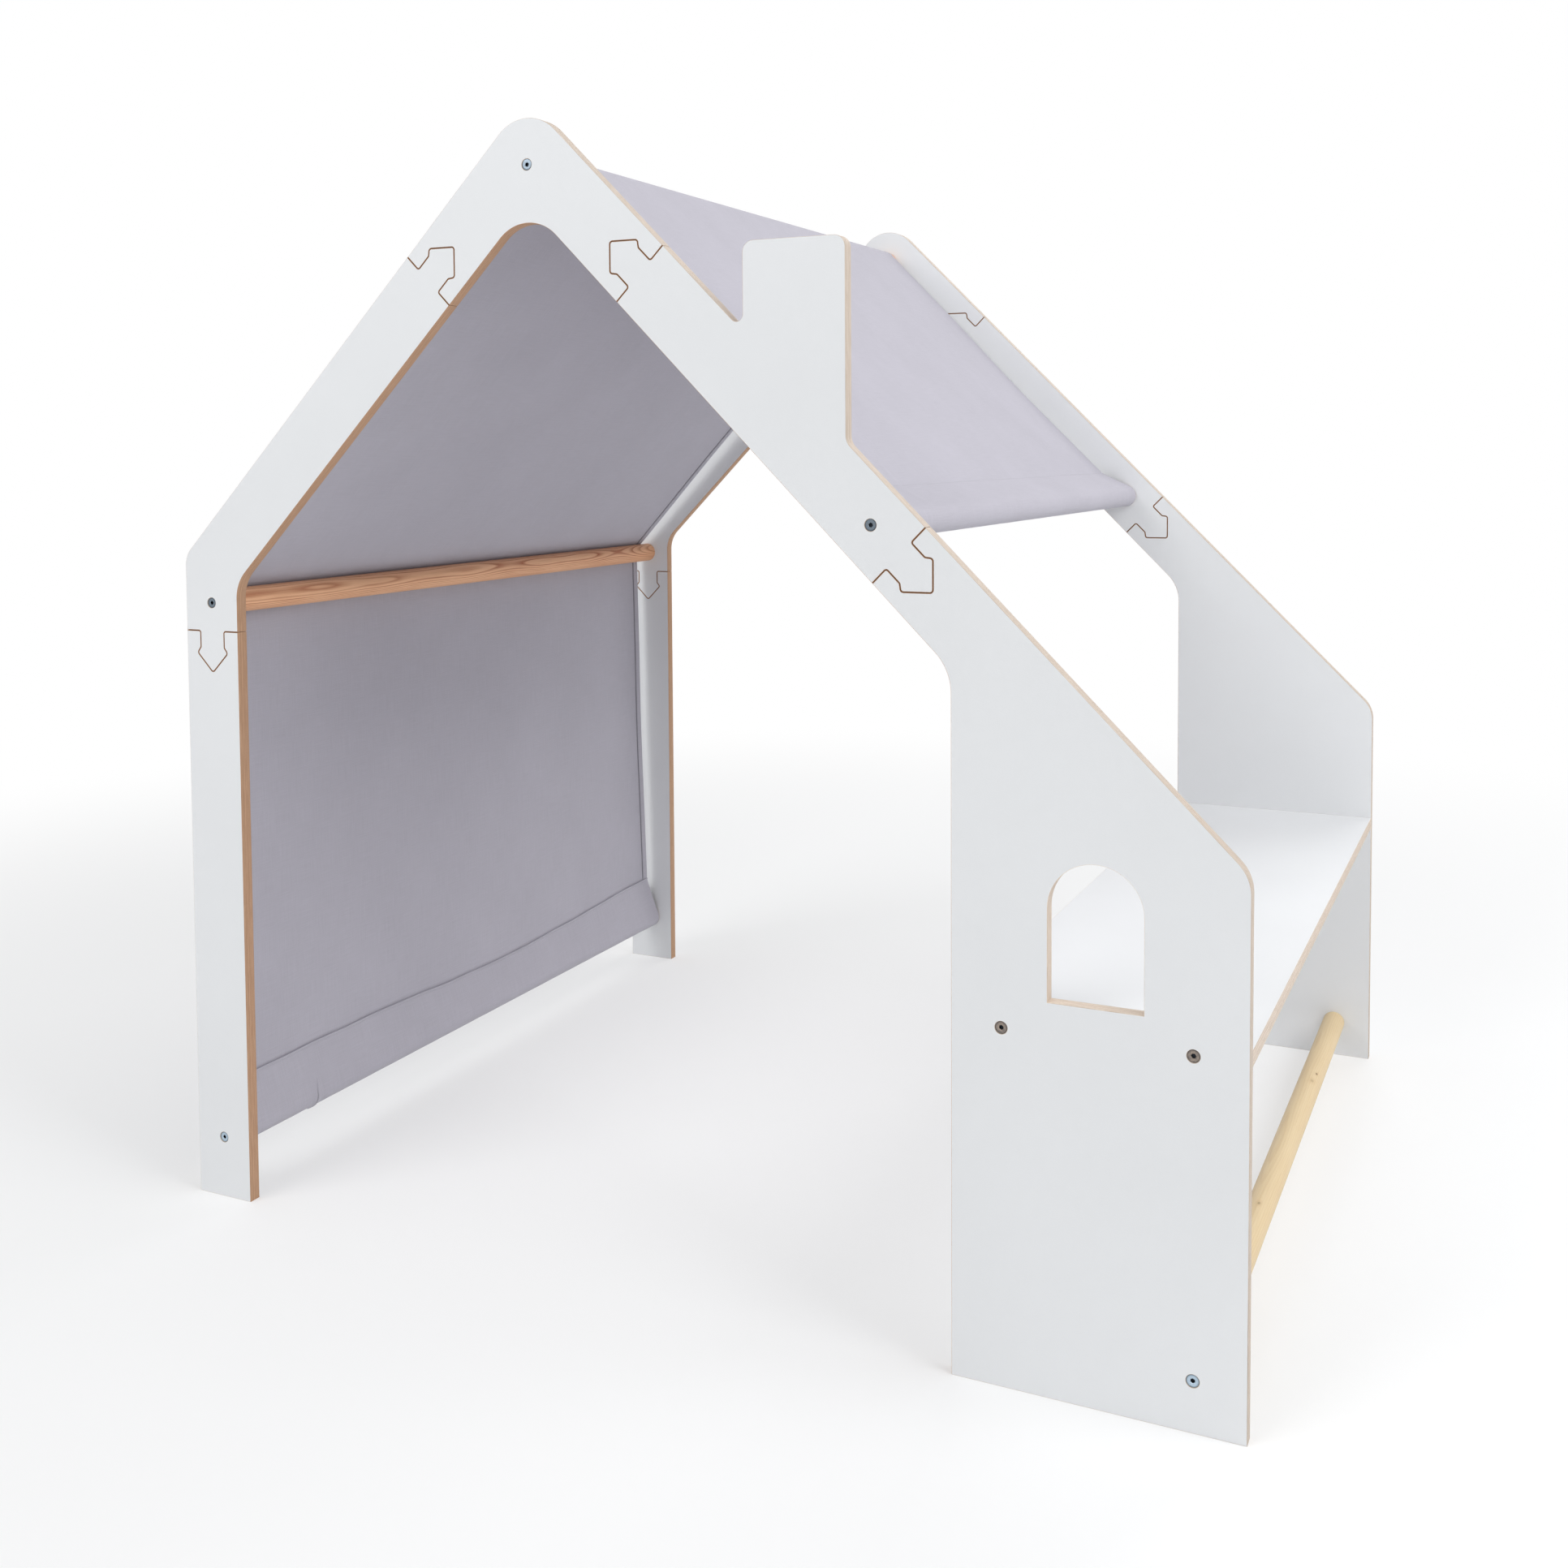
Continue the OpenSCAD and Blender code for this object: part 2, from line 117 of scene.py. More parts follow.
class PLAYHOUSE_PG_frames(bpy.types.PropertyGroup):
    """Sizes of the two plywood frames and of the counter."""
    rafter_w: length("Rafter width", "Width of the rafters and of the apex pieces", 0.078)
    pitch: angle("Pitch", "Pitch of both roof slopes", 45)
    ridge_drop: length("Ridge drop", "Depth of the ridge dowel below the sharp ridge corner", 0.0695)
    eave_drop: length("Eave drop", "Depth of the eave dowel below the sharp eave corner", 0.0555)
    ridge_outer_r: length("Ridge outer radius", "Outer radius at the ridge", 0.050)
    ridge_inner_r: length("Ridge inner radius", "Inner radius at the ridge", 0.050)
    eave_outer_r: length("Eave outer radius", "Outer radius at the eave", 0.028)
    eave_inner_r: length("Eave inner radius", "Inner radius at the eave", 0.045)
    panel_outer_r: length("Shoulder outer radius", "Outer radius at the side panel's shoulder", 0.040)
    panel_inner_r: length("Shoulder inner radius", "Inner radius at the side panel's shoulder", 0.055)
    eave_leg: length("Eave leg", "Length of the left rafter's leg below the eave corner", 0.089)
    apex_left_arm: length("Apex left arm", "Length of the apex piece along its left outer edge", 0.224)
    apex_right_arm: length("Apex right arm", "Length of the apex piece along its right outer edge", 0.232)
    panel_stub: length("Panel stub", "Length of the side panel's stub up the slope", 0.114)
    neck_w: length("Neck width", "Width of an arrow joint's neck", 0.036)
    neck_l: length("Neck length", "Straight length of an arrow joint's neck", 0.020)
    barb_w: length("Barb width", "Width across an arrow joint's barbs", 0.046)
    flare_l: length("Flare length", "Length over which the neck flares to the barbs", 0.0065)
    joint_r: length("Joint radius", "Corner radius of an arrow joint", 0.003)
    joint_gap: length("Saw gap", "Saw gap all round an arrow joint", 0.0005)
    chimney_offset: length("Chimney offset", "Distance of the chimney's left side from the ridge", 0.2545)
    chimney_w: length("Chimney width", "Width of the chimney", 0.1115)
    chimney_top: length("Chimney top", "Height of the chimney's top above the floor", 1.109)
    chimney_r: length("Chimney radius", "Corner radius of the chimney's top", 0.012)
    notch_r: length("Notch radius", "Radius at the bottom of the notch beside the chimney", 0.007)
    chimney_foot_r: length("Chimney foot radius", "Radius where the chimney meets the slope", 0.016)
    window_w: length("Window width", "Width of the arched window", 0.091)
    window_h: length("Window height", "Height of the window from sill to crown", 0.135)
    sill_rise: length("Sill rise", "Height of the window's sill above the counter", 0.023)
    table_bolt_inset: length("Bolt inset", "Distance of the counter's bolts from the panel's edges", 0.050)
    edge_ease: length("Eased edge", "Width of the eased edge round every board", 0.0004)
    joint_ease: length("Eased joint", "Width that the cutter adds to the eased edges along a joint", 0.0003)
    veneers: number("Veneers", "Number of veneers in the plywood", 11)
    nut_hole_d: length("Nut hole", "Diameter of the holes for the barrel nuts", 0.0102)
    nut_hole_depth: length("Nut hole depth", "Depth of the barrel nuts' holes from the underside", 0.012)
    nut_inset: length("Nut inset", "Distance of the barrel nuts from the counter's ends", 0.024)


class PLAYHOUSE_PG_dowels(bpy.types.PropertyGroup):
    """Sizes of the dowels' ends."""
    chamfer: length("Chamfer", "Chamfer round a dowel's ends", 0.001)
    insert_d: length("Insert hole", "Diameter of the hole for a threaded insert", 0.0102)
    insert_l: length("Insert depth", "Depth of the hole for a threaded insert", 0.025)
    bolt_hole_d: length("Bolt hole", "Diameter of the hole behind an insert", 0.0064)
    bolt_hole_l: length("Bolt hole depth", "Depth of the hole behind an insert, from the end", 0.0322)


class PLAYHOUSE_PG_bolts(bpy.types.PropertyGroup):
    """Sizes of the countersunk bolts."""
    head_d: length("Head", "Diameter of a bolt's head", 0.012)
    shank_d: length("Shank", "Diameter of a bolt's shank", 0.006)
    rim: length("Rim", "Depth of the head's cylindrical rim", 0.0006)
    reach: length("Reach", "Length of a bolt past the frame", 0.032)
    hex_af: length("Socket", "Width across the flats of the hexagon socket", 0.004)
    hex_depth: length("Socket depth", "Depth of the hexagon socket", 0.003)
    sink: length("Sink", "Depth of a head's face below the board's face", 0.0005)
    hole_gap: length("Hole gap", "Clearance round a bolt in its hole", 0.0002)
    lip: length("Lip", "Width of the eased edges of the head and the socket", 0.00035)


class PLAYHOUSE_PG_cloth(bpy.types.PropertyGroup):
    """Sizes of the cloth cover."""
    thickness: length("Thickness", "Thickness of the cloth", 0.0009)
    clearance: length("Clearance", "Gap between the cloth and the dowels", 0.00025)
    side_gap: length("Side gap", "Distance of the cloth's side edges from the frames", 0.014)
    sleeve_gap: length("Sleeve gap", "Distance of the hem sleeves' ends from the frames", 0.0015)
    wall_sleeve: length("Wall sleeve", "Distance of the wall's seam from its dowel's axis", 0.0605)
    roof_sleeve: length("Roof sleeve", "Distance of the roof's seam from its dowel's axis", 0.048)
    seam_dip: length("Seam dip", "How far the wall's seam dips in the middle", 0.0095)
    seam_rise: length("Seam rise", "How far the wall's seam rises at the rear", 0.0075)
    seam_stray: length("Seam stray", "How far the sewn seams stray from a straight line", 0.001)
    flap: length("Hem edge", "Height of the folded hem edge above its seam", 0.004)
    flap_gap: length("Hem edge gap", "Gap behind the folded hem edge", 0.0013)
    side_hem_w: length("Side hem", "Width of the side hems", 0.012)
    side_hem_t: length("Side hem thickness", "Thickness that the side hems add", 0.0012)
    side_groove: length("Side groove", "Depth of the groove that stitches pull beside a side hem", 0.0004)
    turn_in: length("Turn-in", "Cloth turned in at each end and side", 0.010)
    wave_h: length("Wave height", "Height of the broad waves in the stretched cloth", 0.0022)
    ripple_h: length("Ripple height", "Height of the puckers along the seams", 0.0006)
    wall_draw: length("Wall draw-in", "How far the wall's side edges are drawn in", 0.003)
    slope_draw: length("Slope draw-in", "How far the left slope's side edges are drawn in", 0.005)
    roof_draw: length("Roof draw-in", "How far the roof's side edges are drawn in", 0.007)
    tuck_y: length("Tuck place", "Y of the small tuck in the wall's sleeve", -0.378)
    tuck_h: length("Tuck height", "Height of the small tuck in the wall's sleeve", 0.0019)
    thread: length("Thread", "Distance between the threads of the weave", 0.0007)
    stitch_pitch: length("Stitch pitch", "Distance between stitches", 0.0034)
    stitch_l: length("Stitch length", "Length of a stitch", 0.0027)
    stitch_r: length("Stitch radius", "Radius of the sewing thread", 0.00028)


class PLAYHOUSE_PG_finishes(bpy.types.PropertyGroup):
    """Colours of the playhouse's materials."""
    laminate: colour("Laminate", "Cool white face of the plywood", (0.78, 0.79, 0.802))
    ply_pale: colour("Pale veneer", "Veneers cut along the grain", (0.92, 0.81, 0.70))
    ply_dark: colour("Dark veneer", "Veneers cut across the grain", (0.74, 0.60, 0.48))
    ply_glue: colour("Glue line", "Glue between the veneers", (0.26, 0.165, 0.10))
    aged: colour("Aged", "Tint of the plywood on the outer edges", (0.78, 0.78, 0.785))
    # The toast is partly a real scorch and partly painted shade on the edges inside the doorway
    toast: colour("Toast_and_painted_shade", "Tint of the plywood inside the doorway", (0.70, 0.492, 0.356))
    scorch: colour("Scorch", "Plywood scorched by the cutter", (0.30, 0.15, 0.07))
    pine_pale: colour("Pine, early wood", "Pale rings of the pine dowels", (0.88, 0.505, 0.285))
    pine_dark: colour("Pine, late wood", "Dark rings of the pine dowels", (0.43, 0.115, 0.04))
    birch_pale: colour("Birch, pale", "Pale grain of the footrest", (0.745, 0.585, 0.355))
    birch_dark: colour("Birch, dark", "Darker grain of the footrest", (0.63, 0.445, 0.235))
    knot: colour("Knot", "Small knots in the footrest", (0.22, 0.13, 0.055))
    cloth: colour("Cloth", "Lilac grey of the cloth", (0.50, 0.482, 0.546))
    thread: colour("Sewing thread", "Thread of the seams", (0.45, 0.434, 0.492))
    # Dull and bright zinc are a shaded and a lit copy of one plating: the bright one is a painted
    # reflection
    zinc: colour("Dull zinc", "Dull plating of the dowels' bolts", (0.175, 0.22, 0.265))
    bright_zinc: colour("Bright zinc", "Bright plating of the dowels' bolts", (0.46, 0.57, 0.67))
    bronze: colour("Nickel bronze", "Plating of the counter's bolts", (0.36, 0.295, 0.245))
    tarnish: colour("Tarnish", "Dark clouds in the plating", (0.16, 0.15, 0.15))
    # Painted shade: this dark colour fills the bolts' sockets and darkens the rims of their heads
    painted_bolt_shade: colour("Hollow", "Dark inside of the bolts' sockets", (0.02, 0.024, 0.03))


class PLAYHOUSE_PG_studio(bpy.types.PropertyGroup):
    """Camera, lamps and floor."""
    camera_at: place("Camera", "Where the camera stands", (0.8659, -2.0063, 0.8997))
    camera_yaw: angle("Yaw", "Turn of the camera to the left of +Y", 25.215)
    camera_pitch: angle("Pitch", "Tilt of the camera upwards", -2.874)
    camera_roll: angle("Roll", "Roll of the camera", -0.36)
    camera_lens: number("Lens", "Focal length in millimetres", 37.808)
    camera_shift: number("Shift", "Vertical shift of the lens", -0.16)
    sky: number("Sky", "Strength of the even light from all round", 0.53)
    sky_tint: colour("Sky tint", "Colour of the even light from all round", (0.97, 0.985, 1.0))
    floor_r: length("Floor", "Radius of the floor", 9.0)
    floor_fade: length("Floor fade", "Distance at which the floor turns into the background", 3.2)
    floor_tone: number("Floor tone", "Lightness of the floor as the playhouse sees it", 0.92)
    floor_shade: number("Floor shade", "Share of the shadow that shows on the floor", 0.65)


def settings(context):
    """The scene's property groups by name."""
    return {name: getattr(context.scene, "playhouse_" + name) for name in GROUPS}


# Plane geometry in X and Z

def unit(v):
    return v / np.linalg.norm(v)


def left_of(v):
    """The vector turned a quarter turn to the left."""
    return np.array((-v[1], v[0]))


def turned(v, by):
    """The vector turned anticlockwise by an angle."""
    return np.array((v[0] * math.cos(by) - v[1] * math.sin(by), v[0] * math.sin(by) + v[1] * math.cos(by)))


def heading(by):
    return np.array((math.cos(by), math.sin(by)))


def bearing(v):
    """The angle of a vector, from 0 to a full turn."""
    return math.atan2(v[1], v[0]) % math.tau


def rounded(corners, step=math.radians(4)):
    """A closed outline from corners with radii, each corner an arc with a point at every step."""
    outline = []
    for i, (corner, radius) in enumerate(corners):
        if radius == 0:
            outline.append(corner)
            continue
        back = unit(corners[i - 1][0] - corner)
        on = unit(corners[(i + 1) % len(corners)][0] - corner)
        half = math.acos(np.dot(back, on)) / 2
        centre = corner + unit(back + on) * radius / math.sin(half)
        start = corner + back * radius / math.tan(half) - centre
        sweep = math.copysign(math.pi - 2 * half, np.dot(left_of(-back), on))
        count = max(2, math.ceil(abs(sweep) / step))
        outline.extend(centre + turned(start, sweep * k / count) for k in range(count + 1))
    return outline


def circle(centre, radius, points=40):
    return [centre + radius * heading(math.tau * k / points) for k in range(points)]


class FrameShape:
    """Outlines of a frame's boards, worked out from the dowels' places and the frame's sizes."""

    def __init__(self, sizes):
        s = self.sizes = sizes
        self.left, self.post_in = POST_LOW.x, POST_HIGH.x
        self.panel_in, self.right = COUNTER_LOW.x, COUNTER_HIGH.x
        self.slope = math.tan(s.pitch)
        self.drop = s.rafter_w / math.cos(s.pitch)
        self.ridge = RIDGE_AXIS + (0, s.ridge_drop)
        self.eave = np.array((self.left, EAVE_AXIS[1] + s.eave_drop))
        left_up = heading(s.pitch)
        right_up = heading(math.pi - s.pitch)
        half = s.rafter_w / 2
        panel_run = (self.panel_in - self.ridge[0] + s.rafter_w * math.sin(s.pitch)) / math.cos(s.pitch)
        left_line = self.ridge - left_of(left_up) * half
        right_line = self.ridge + left_of(right_up) * half
        post_middle = np.array(((self.left + self.post_in) / 2, self.eave[1] - s.eave_leg))
        # Each joint has its shoulder's middle, the arrow's heading and the board's width
        self.joints = {
            "post": (post_middle, -math.pi / 2, self.post_in - self.left),
            "apex_left": (left_line - left_up * s.apex_left_arm, s.pitch, s.rafter_w),
            "apex_right": (right_line - right_up * s.apex_right_arm, math.pi - s.pitch, s.rafter_w),
            "panel": (right_line - right_up * (panel_run - s.panel_stub), -s.pitch, s.rafter_w),
        }

    def on_right_edge(self, x):
        return np.array((x, self.ridge[1] - (x - self.ridge[0]) * self.slope))

    def cut(self, joint, gap=0.0):
        """A joint's corners with their radii, from the board's right edge to its left along the arrow."""
        s = self.sizes
        middle_of, direction, width = self.joints[joint]
        barb_x = s.neck_l + s.flare_l
        half = [(0, width / 2), (0, s.neck_w / 2), (s.neck_l, s.neck_w / 2), (barb_x, s.barb_w / 2)]
        tip = (barb_x + s.barb_w / 2, 0)
        path = np.array([(x, -y) for x, y in half] + [tip] + half[::-1], float)
        outward = [-left_of(unit(b - a)) for a, b in zip(path[:-1], path[1:])]
        corners = []
        for corner, a, b in zip(path, outward[:1] + outward, outward + outward[-1:]):
            moved = corner + gap * (a + b) / (1 + np.dot(a, b))
            bend = np.sign(round(float(np.dot(left_of(a), b)), 6))
            corners.append((middle_of + turned(moved, direction), (s.joint_r + gap * bend) * abs(bend)))
        return corners

    def arrow(self, joint):
        """The rim of the cut on the arrow's side, where the eased edge is widened."""
        return self.cut(joint, -self.sizes.joint_ease)

    def socket(self, joint):
        """The rim of the cut on the socket's side, past the saw gap, from the left edge to the right."""
        return self.cut(joint, self.sizes.joint_gap + self.sizes.joint_ease)[::-1]

    def boards(self, with_chimney):
        """Corners of each board with their radii, anticlockwise."""
        s = self.sizes
        rise = (self.post_in - self.left) * self.slope
        eave_inner = np.array((self.post_in, self.eave[1] + rise - self.drop))
        shoulder = self.on_right_edge(self.right)
        panel_inner = self.on_right_edge(self.panel_in) - (0, self.drop)
        chimney = []
        if with_chimney:
            near = self.ridge[0] + s.chimney_offset
            far = near + s.chimney_w
            chimney = [
                (self.on_right_edge(far), s.chimney_foot_r), (np.array((far, s.chimney_top)), s.chimney_r),
                (np.array((near, s.chimney_top)), s.chimney_r), (self.on_right_edge(near), s.notch_r)]
        feet = [(np.array((x, 0.0)), 0.0) for x in (self.left, self.post_in, self.panel_in, self.right)]
        return {
            "left_post": feet[:2] + self.socket("post"),
            "left_rafter": self.arrow("post") + [(eave_inner, s.eave_inner_r)] + self.arrow("apex_left")
            + [(self.eave, s.eave_outer_r)],
            "apex": self.socket("apex_left") + [(self.ridge - (0, self.drop), s.ridge_inner_r)]
            + self.socket("apex_right") + [(self.ridge, s.ridge_outer_r)],
            "right_rafter": chimney + self.arrow("apex_right") + self.arrow("panel"),
            "side_panel": feet[2:] + [(shoulder, s.panel_outer_r)] + self.socket("panel")
            + [(panel_inner, s.panel_inner_r)],
        }

    def cuts(self):
        """The cuts of all four joints as lines."""
        return [rounded(self.cut(joint)) for joint in self.joints]

    def cut_reach(self):
        """How far a board's edge lies from a cut at most."""
        return 2 * (self.sizes.joint_gap + self.sizes.edge_ease + self.sizes.joint_ease)

    def doorway(self):
        """A point in the middle of the doorway, which all the edges round it face."""
        return np.array(((self.post_in + self.panel_in) / 2, 0.75 * EAVE_AXIS[1]))

    def window(self):
        """The outline of the arched window."""
        s = self.sizes
        x = (self.panel_in + self.right) / 2
        sill = COUNTER_HIGH.z + s.sill_rise
        r = s.window_w / 2
        crown = np.array((x, sill + s.window_h - r))
        steps = 40
        arch = [crown + r * heading(math.pi * k / steps) for k in range(steps + 1)]
        return [np.array((x - r, sill)), np.array((x + r, sill))] + arch

    def counter_bolts(self):
        """Axes of the counter's bolts."""
        inset = self.sizes.table_bolt_inset
        z = (COUNTER_LOW.z + COUNTER_HIGH.z) / 2
        return np.array((self.panel_in + inset, z)), np.array((self.right - inset, z))


# Meshes and pieces

def linked(name, data):
    """A new object in the scene."""
    made = bpy.data.objects.new(name, data)
    bpy.context.scene.collection.objects.link(made)
    return made


def baked(made):
    """The plain mesh that an object evaluates to; the object itself is removed."""
    bpy.context.view_layer.update()
    depsgraph = bpy.context.evaluated_depsgraph_get()
    mesh = bpy.data.meshes.new_from_object(made.evaluated_get(depsgraph))
    bpy.data.objects.remove(made)
    return mesh


def piece(name, mesh, slot, *nodes):
    """Links a finished mesh as a piece of the playhouse that stands for these CAD nodes."""
    mesh.name = name
    made = linked(name, mesh)
    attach(made, BODY)
    if nodes:
        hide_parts(*nodes)
    return made


def mesh_from(bm, name):
    mesh = bpy.data.meshes.new(name)
    bm.to_mesh(mesh)
    bm.free()
    return mesh


def shade(mesh, flat_index=None, sharp=math.radians(32)):
    """Smooth shading where faces meet at less than the sharp angle; one material's faces stay flat."""
    bm = bmesh.new()
    bm.from_mesh(mesh)
    for face in bm.faces:
        face.smooth = face.material_index != flat_index
    for edge in bm.edges:
        edge.smooth = len(edge.link_faces) == 2 and edge.calc_face_angle(0.0) < sharp
    bm.to_mesh(mesh)
    bm.free()


def extruded(name, loops, thickness, ease):
    """A board with eased edges from its outline and its holes, lying flat about z = 0."""
    outline = bpy.data.curves.new(name, "CURVE")
    outline.dimensions = "2D"
    outline.fill_mode = "BOTH"
    outline.extrude = thickness / 2 - ease
    outline.bevel_depth = ease
    outline.bevel_resolution = 1
    outline.offset = -ease
    for loop in loops:
        spline = outline.splines.new("POLY")
        spline.points.add(len(loop) - 1)
        for target, source in zip(spline.points, loop):
            target.co = (source[0], source[1], 0.0, 1.0)
        spline.use_cyclic_u = True
    mesh = baked(linked(name, outline))
    bpy.data.curves.remove(outline)
    bm = bmesh.new()
    bm.from_mesh(mesh)
    bmesh.ops.remove_doubles(bm, verts=bm.verts, dist=1e-6)
    bmesh.ops.recalc_face_normals(bm, faces=bm.faces)
    bm.to_mesh(mesh)
    bm.free()
    return mesh


def set_values(mesh, name, kind, values):
    """Stores one value for each vertex."""
    layer = mesh.attributes.new(name, kind, "POINT")
    layer.data.foreach_set("vector" if kind == "FLOAT_VECTOR" else "value", np.ravel(values))


def places(mesh):
    """The vertices' places as an array."""
    values = np.empty(len(mesh.vertices) * 3)
    mesh.vertices.foreach_get("co", values)
    return values.reshape(-1, 3)


def move_to(mesh, values):
    mesh.vertices.foreach_set("co", np.ravel(values))
    mesh.update()


def rings_to_mesh(name, rings):
    """A closed skin over rings of points; a ring of one point closes an end."""
    bm = bmesh.new()
    made = [[bm.verts.new(p) for p in ring] for ring in rings]
    for a, b in zip(made[:-1], made[1:]):
        count = max(len(a), len(b))
        for k in range(count):
            corners = [a[k % len(a)], a[(k + 1) % len(a)], b[(k + 1) % len(b)], b[k % len(b)]]
            bm.faces.new(dict.fromkeys(corners))
    bmesh.ops.recalc_face_normals(bm, faces=bm.faces)
    return mesh_from(bm, name)


def away_from(points, paths):
    """The shortest vector to each point from a set of polylines, in the plane."""
    best = np.full_like(points, np.inf)
    for path in paths:
        for a, b in zip(path[:-1], path[1:]):
            along = b - a
            share = np.clip((points - a) @ along / (along @ along), 0, 1)
            off = points - a - share[:, None] * along
            closer = np.linalg.norm(off, axis=1) < np.linalg.norm(best, axis=1)
            best[closer] = off[closer]
    return best


# Shader nodes

def feed(tree, node, inputs):
    """Sets a node's inputs; an input is a value to set or a socket to link."""
    for key, value in inputs.items():
        if isinstance(value, bpy.types.NodeSocket):
            tree.links.new(value, node.inputs[key])
        else:
            node.inputs[key].default_value = value


def add(tree, kind, inputs=None, **values):
    """A new node with its settings and its inputs."""
    made = tree.nodes.new(kind)
    for key, value in values.items():
        setattr(made, key, value)
    feed(tree, made, inputs or {})
    return made


def math_node(tree, operation, a, b=0.0, c=0.0):
    return add(tree, "ShaderNodeMath", {0: a, 1: b, 2: c}, operation=operation).outputs[0]


def scaled(tree, vector, by):
    """The vector times a number, or times a number for each axis."""
    factors = by if isinstance(by, tuple) else (by, by, by)
    return add(tree, "ShaderNodeVectorMath", {0: vector, 1: factors}, operation="MULTIPLY").outputs[0]


def distance(tree, vector):
    """The length of a vector."""
    return add(tree, "ShaderNodeVectorMath", {0: vector}, operation="LENGTH").outputs["Value"]


def noise(tree, vector, detail=2.0, roughness=0.5):
    """Noise of about one cell for each unit of the vector."""
    inputs = {"Vector": vector, "Scale": 1.0, "Detail": detail, "Roughness": roughness}
    return add(tree, "ShaderNodeTexNoise", inputs).outputs["Fac"]


def ranged(tree, value, low, high, to_low=0.0, to_high=1.0, smooth=False):
    inputs = {"Value": value, 1: low, 2: high, 3: to_low, 4: to_high}
    kind = "SMOOTHSTEP" if smooth else "LINEAR"
    return add(tree, "ShaderNodeMapRange", inputs, interpolation_type=kind).outputs[0]


def mixed(tree, factor, a, b, blend="MIX"):
    """A mix of two colours."""
    inputs = {0: factor, 6: a, 7: b}
    return add(tree, "ShaderNodeMix", inputs, data_type="RGBA", blend_type=blend).outputs[2]


def rgba(value, by=1.0):
    """An opaque colour from three values, each times a number."""
    return (*(min(1.0, c * by) for c in value), 1.0)


def node_group(name, inputs, outputs):
    """A new shader node group: its tree, its inputs by name and its output node."""
    tree = bpy.data.node_groups.new(name, "ShaderNodeTree")
    for label, kind in inputs.items():
        tree.interface.new_socket(label, in_out="INPUT", socket_type="NodeSocket" + kind)
    for label, kind in outputs.items():
        tree.interface.new_socket(label, in_out="OUTPUT", socket_type="NodeSocket" + kind)
    return tree, tree.nodes.new("NodeGroupInput").outputs, tree.nodes.new("NodeGroupOutput")


def use_group(tree, make, inputs):
    """Places a node group, which is built the first time that it is used, and returns its outputs."""
    group = bpy.data.node_groups.get(make.__name__) or make()
    return add(tree, "ShaderNodeGroup", inputs, node_tree=group).outputs


def ply_layers():
    """Veneers seen at the edge of a board: alternating tones, glue lines, streaks, and a tint that is
    partly browning and partly painted light and shade.
    """
    tree, given, out = node_group(
        "ply_layers",
        {"Depth": "Float", "Place": "Vector", "Browning_and_painted_light": "Float", "Veneer": "Float",
         "Pale": "Color", "Dark": "Color", "Glue": "Color",
         "Aged": "Color", "Toast_and_painted_shade": "Color", "Scorch": "Color"},
        {"Color": "Color", "Height": "Float", "Roughness": "Float"})
    waver = noise(tree, scaled(tree, given["Place"], 6.0))
    waver = ranged(tree, waver, 0.3, 0.7, -0.15, 0.15)
    layer = math_node(tree, "ADD", math_node(tree, "DIVIDE", given["Depth"], given["Veneer"]), waver)
    index = math_node(tree, "FLOOR", layer)
    within = math_node(tree, "FRACT", layer)
    other = math_node(tree, "FLOORED_MODULO", index, 2.0)
    tone = add(tree, "ShaderNodeTexWhiteNoise", {"W": index}, noise_dimensions="1D").outputs["Value"]
    split = add(tree, "ShaderNodeSeparateXYZ", {0: given["Place"]}).outputs
    streak_at = add(tree, "ShaderNodeCombineXYZ", {
        0: math_node(tree, "MULTIPLY", split[0], 45.0), 1: math_node(tree, "MULTIPLY", split[1], 45.0),
        2: math_node(tree, "MULTIPLY", layer, 1.7)}).outputs[0]
    streak = noise(tree, streak_at, 5.0, 0.62)
    dark = math_node(tree, "MULTIPLY_ADD", other, 0.42, math_node(tree, "MULTIPLY", tone, 0.55))
    dark = math_node(tree, "ADD", dark, ranged(tree, streak, 0.3, 0.7, -0.3, 0.3))
    wood = mixed(tree, ranged(tree, dark, 0.0, 1.0), given["Pale"], given["Dark"])
    seam = math_node(tree, "MINIMUM", within, math_node(tree, "SUBTRACT", 1.0, within))
    seam = ranged(tree, seam, 0.05, 0.2, 1.0, 0.0, smooth=True)
    wood = mixed(tree, math_node(tree, "MULTIPLY", seam, ranged(tree, streak, 0.3, 0.6, 0.35, 0.85)),
                 wood, given["Glue"])
    patchy = noise(tree, scaled(tree, given["Place"], 70.0), 3.0)
    # The tint: none in the window (painted light), aged on the outer edges, toasted inside the doorway
    # (partly painted shade)
    stain = mixed(tree, ranged(tree, given["Browning_and_painted_light"], 0.0, 0.2), WHITE, given["Aged"])
    stain = mixed(tree, ranged(tree, given["Browning_and_painted_light"], 0.2, 0.5), stain, given["Toast_and_painted_shade"])
    wood = mixed(tree, 1.0, wood, stain, "MULTIPLY")
    burnt = math_node(tree, "MULTIPLY", ranged(tree, given["Browning_and_painted_light"], 0.5, 1.0),
                      ranged(tree, patchy, 0.3, 0.7, 0.75, 1.0))
    feed(tree, out, {
        "Color": mixed(tree, burnt, wood, given["Scorch"]),
        "Height": math_node(tree, "SUBTRACT", math_node(tree, "MULTIPLY", streak, 0.6), seam),
        "Roughness": ranged(tree, streak, 0.2, 0.8, 0.5, 0.72)})
    return tree


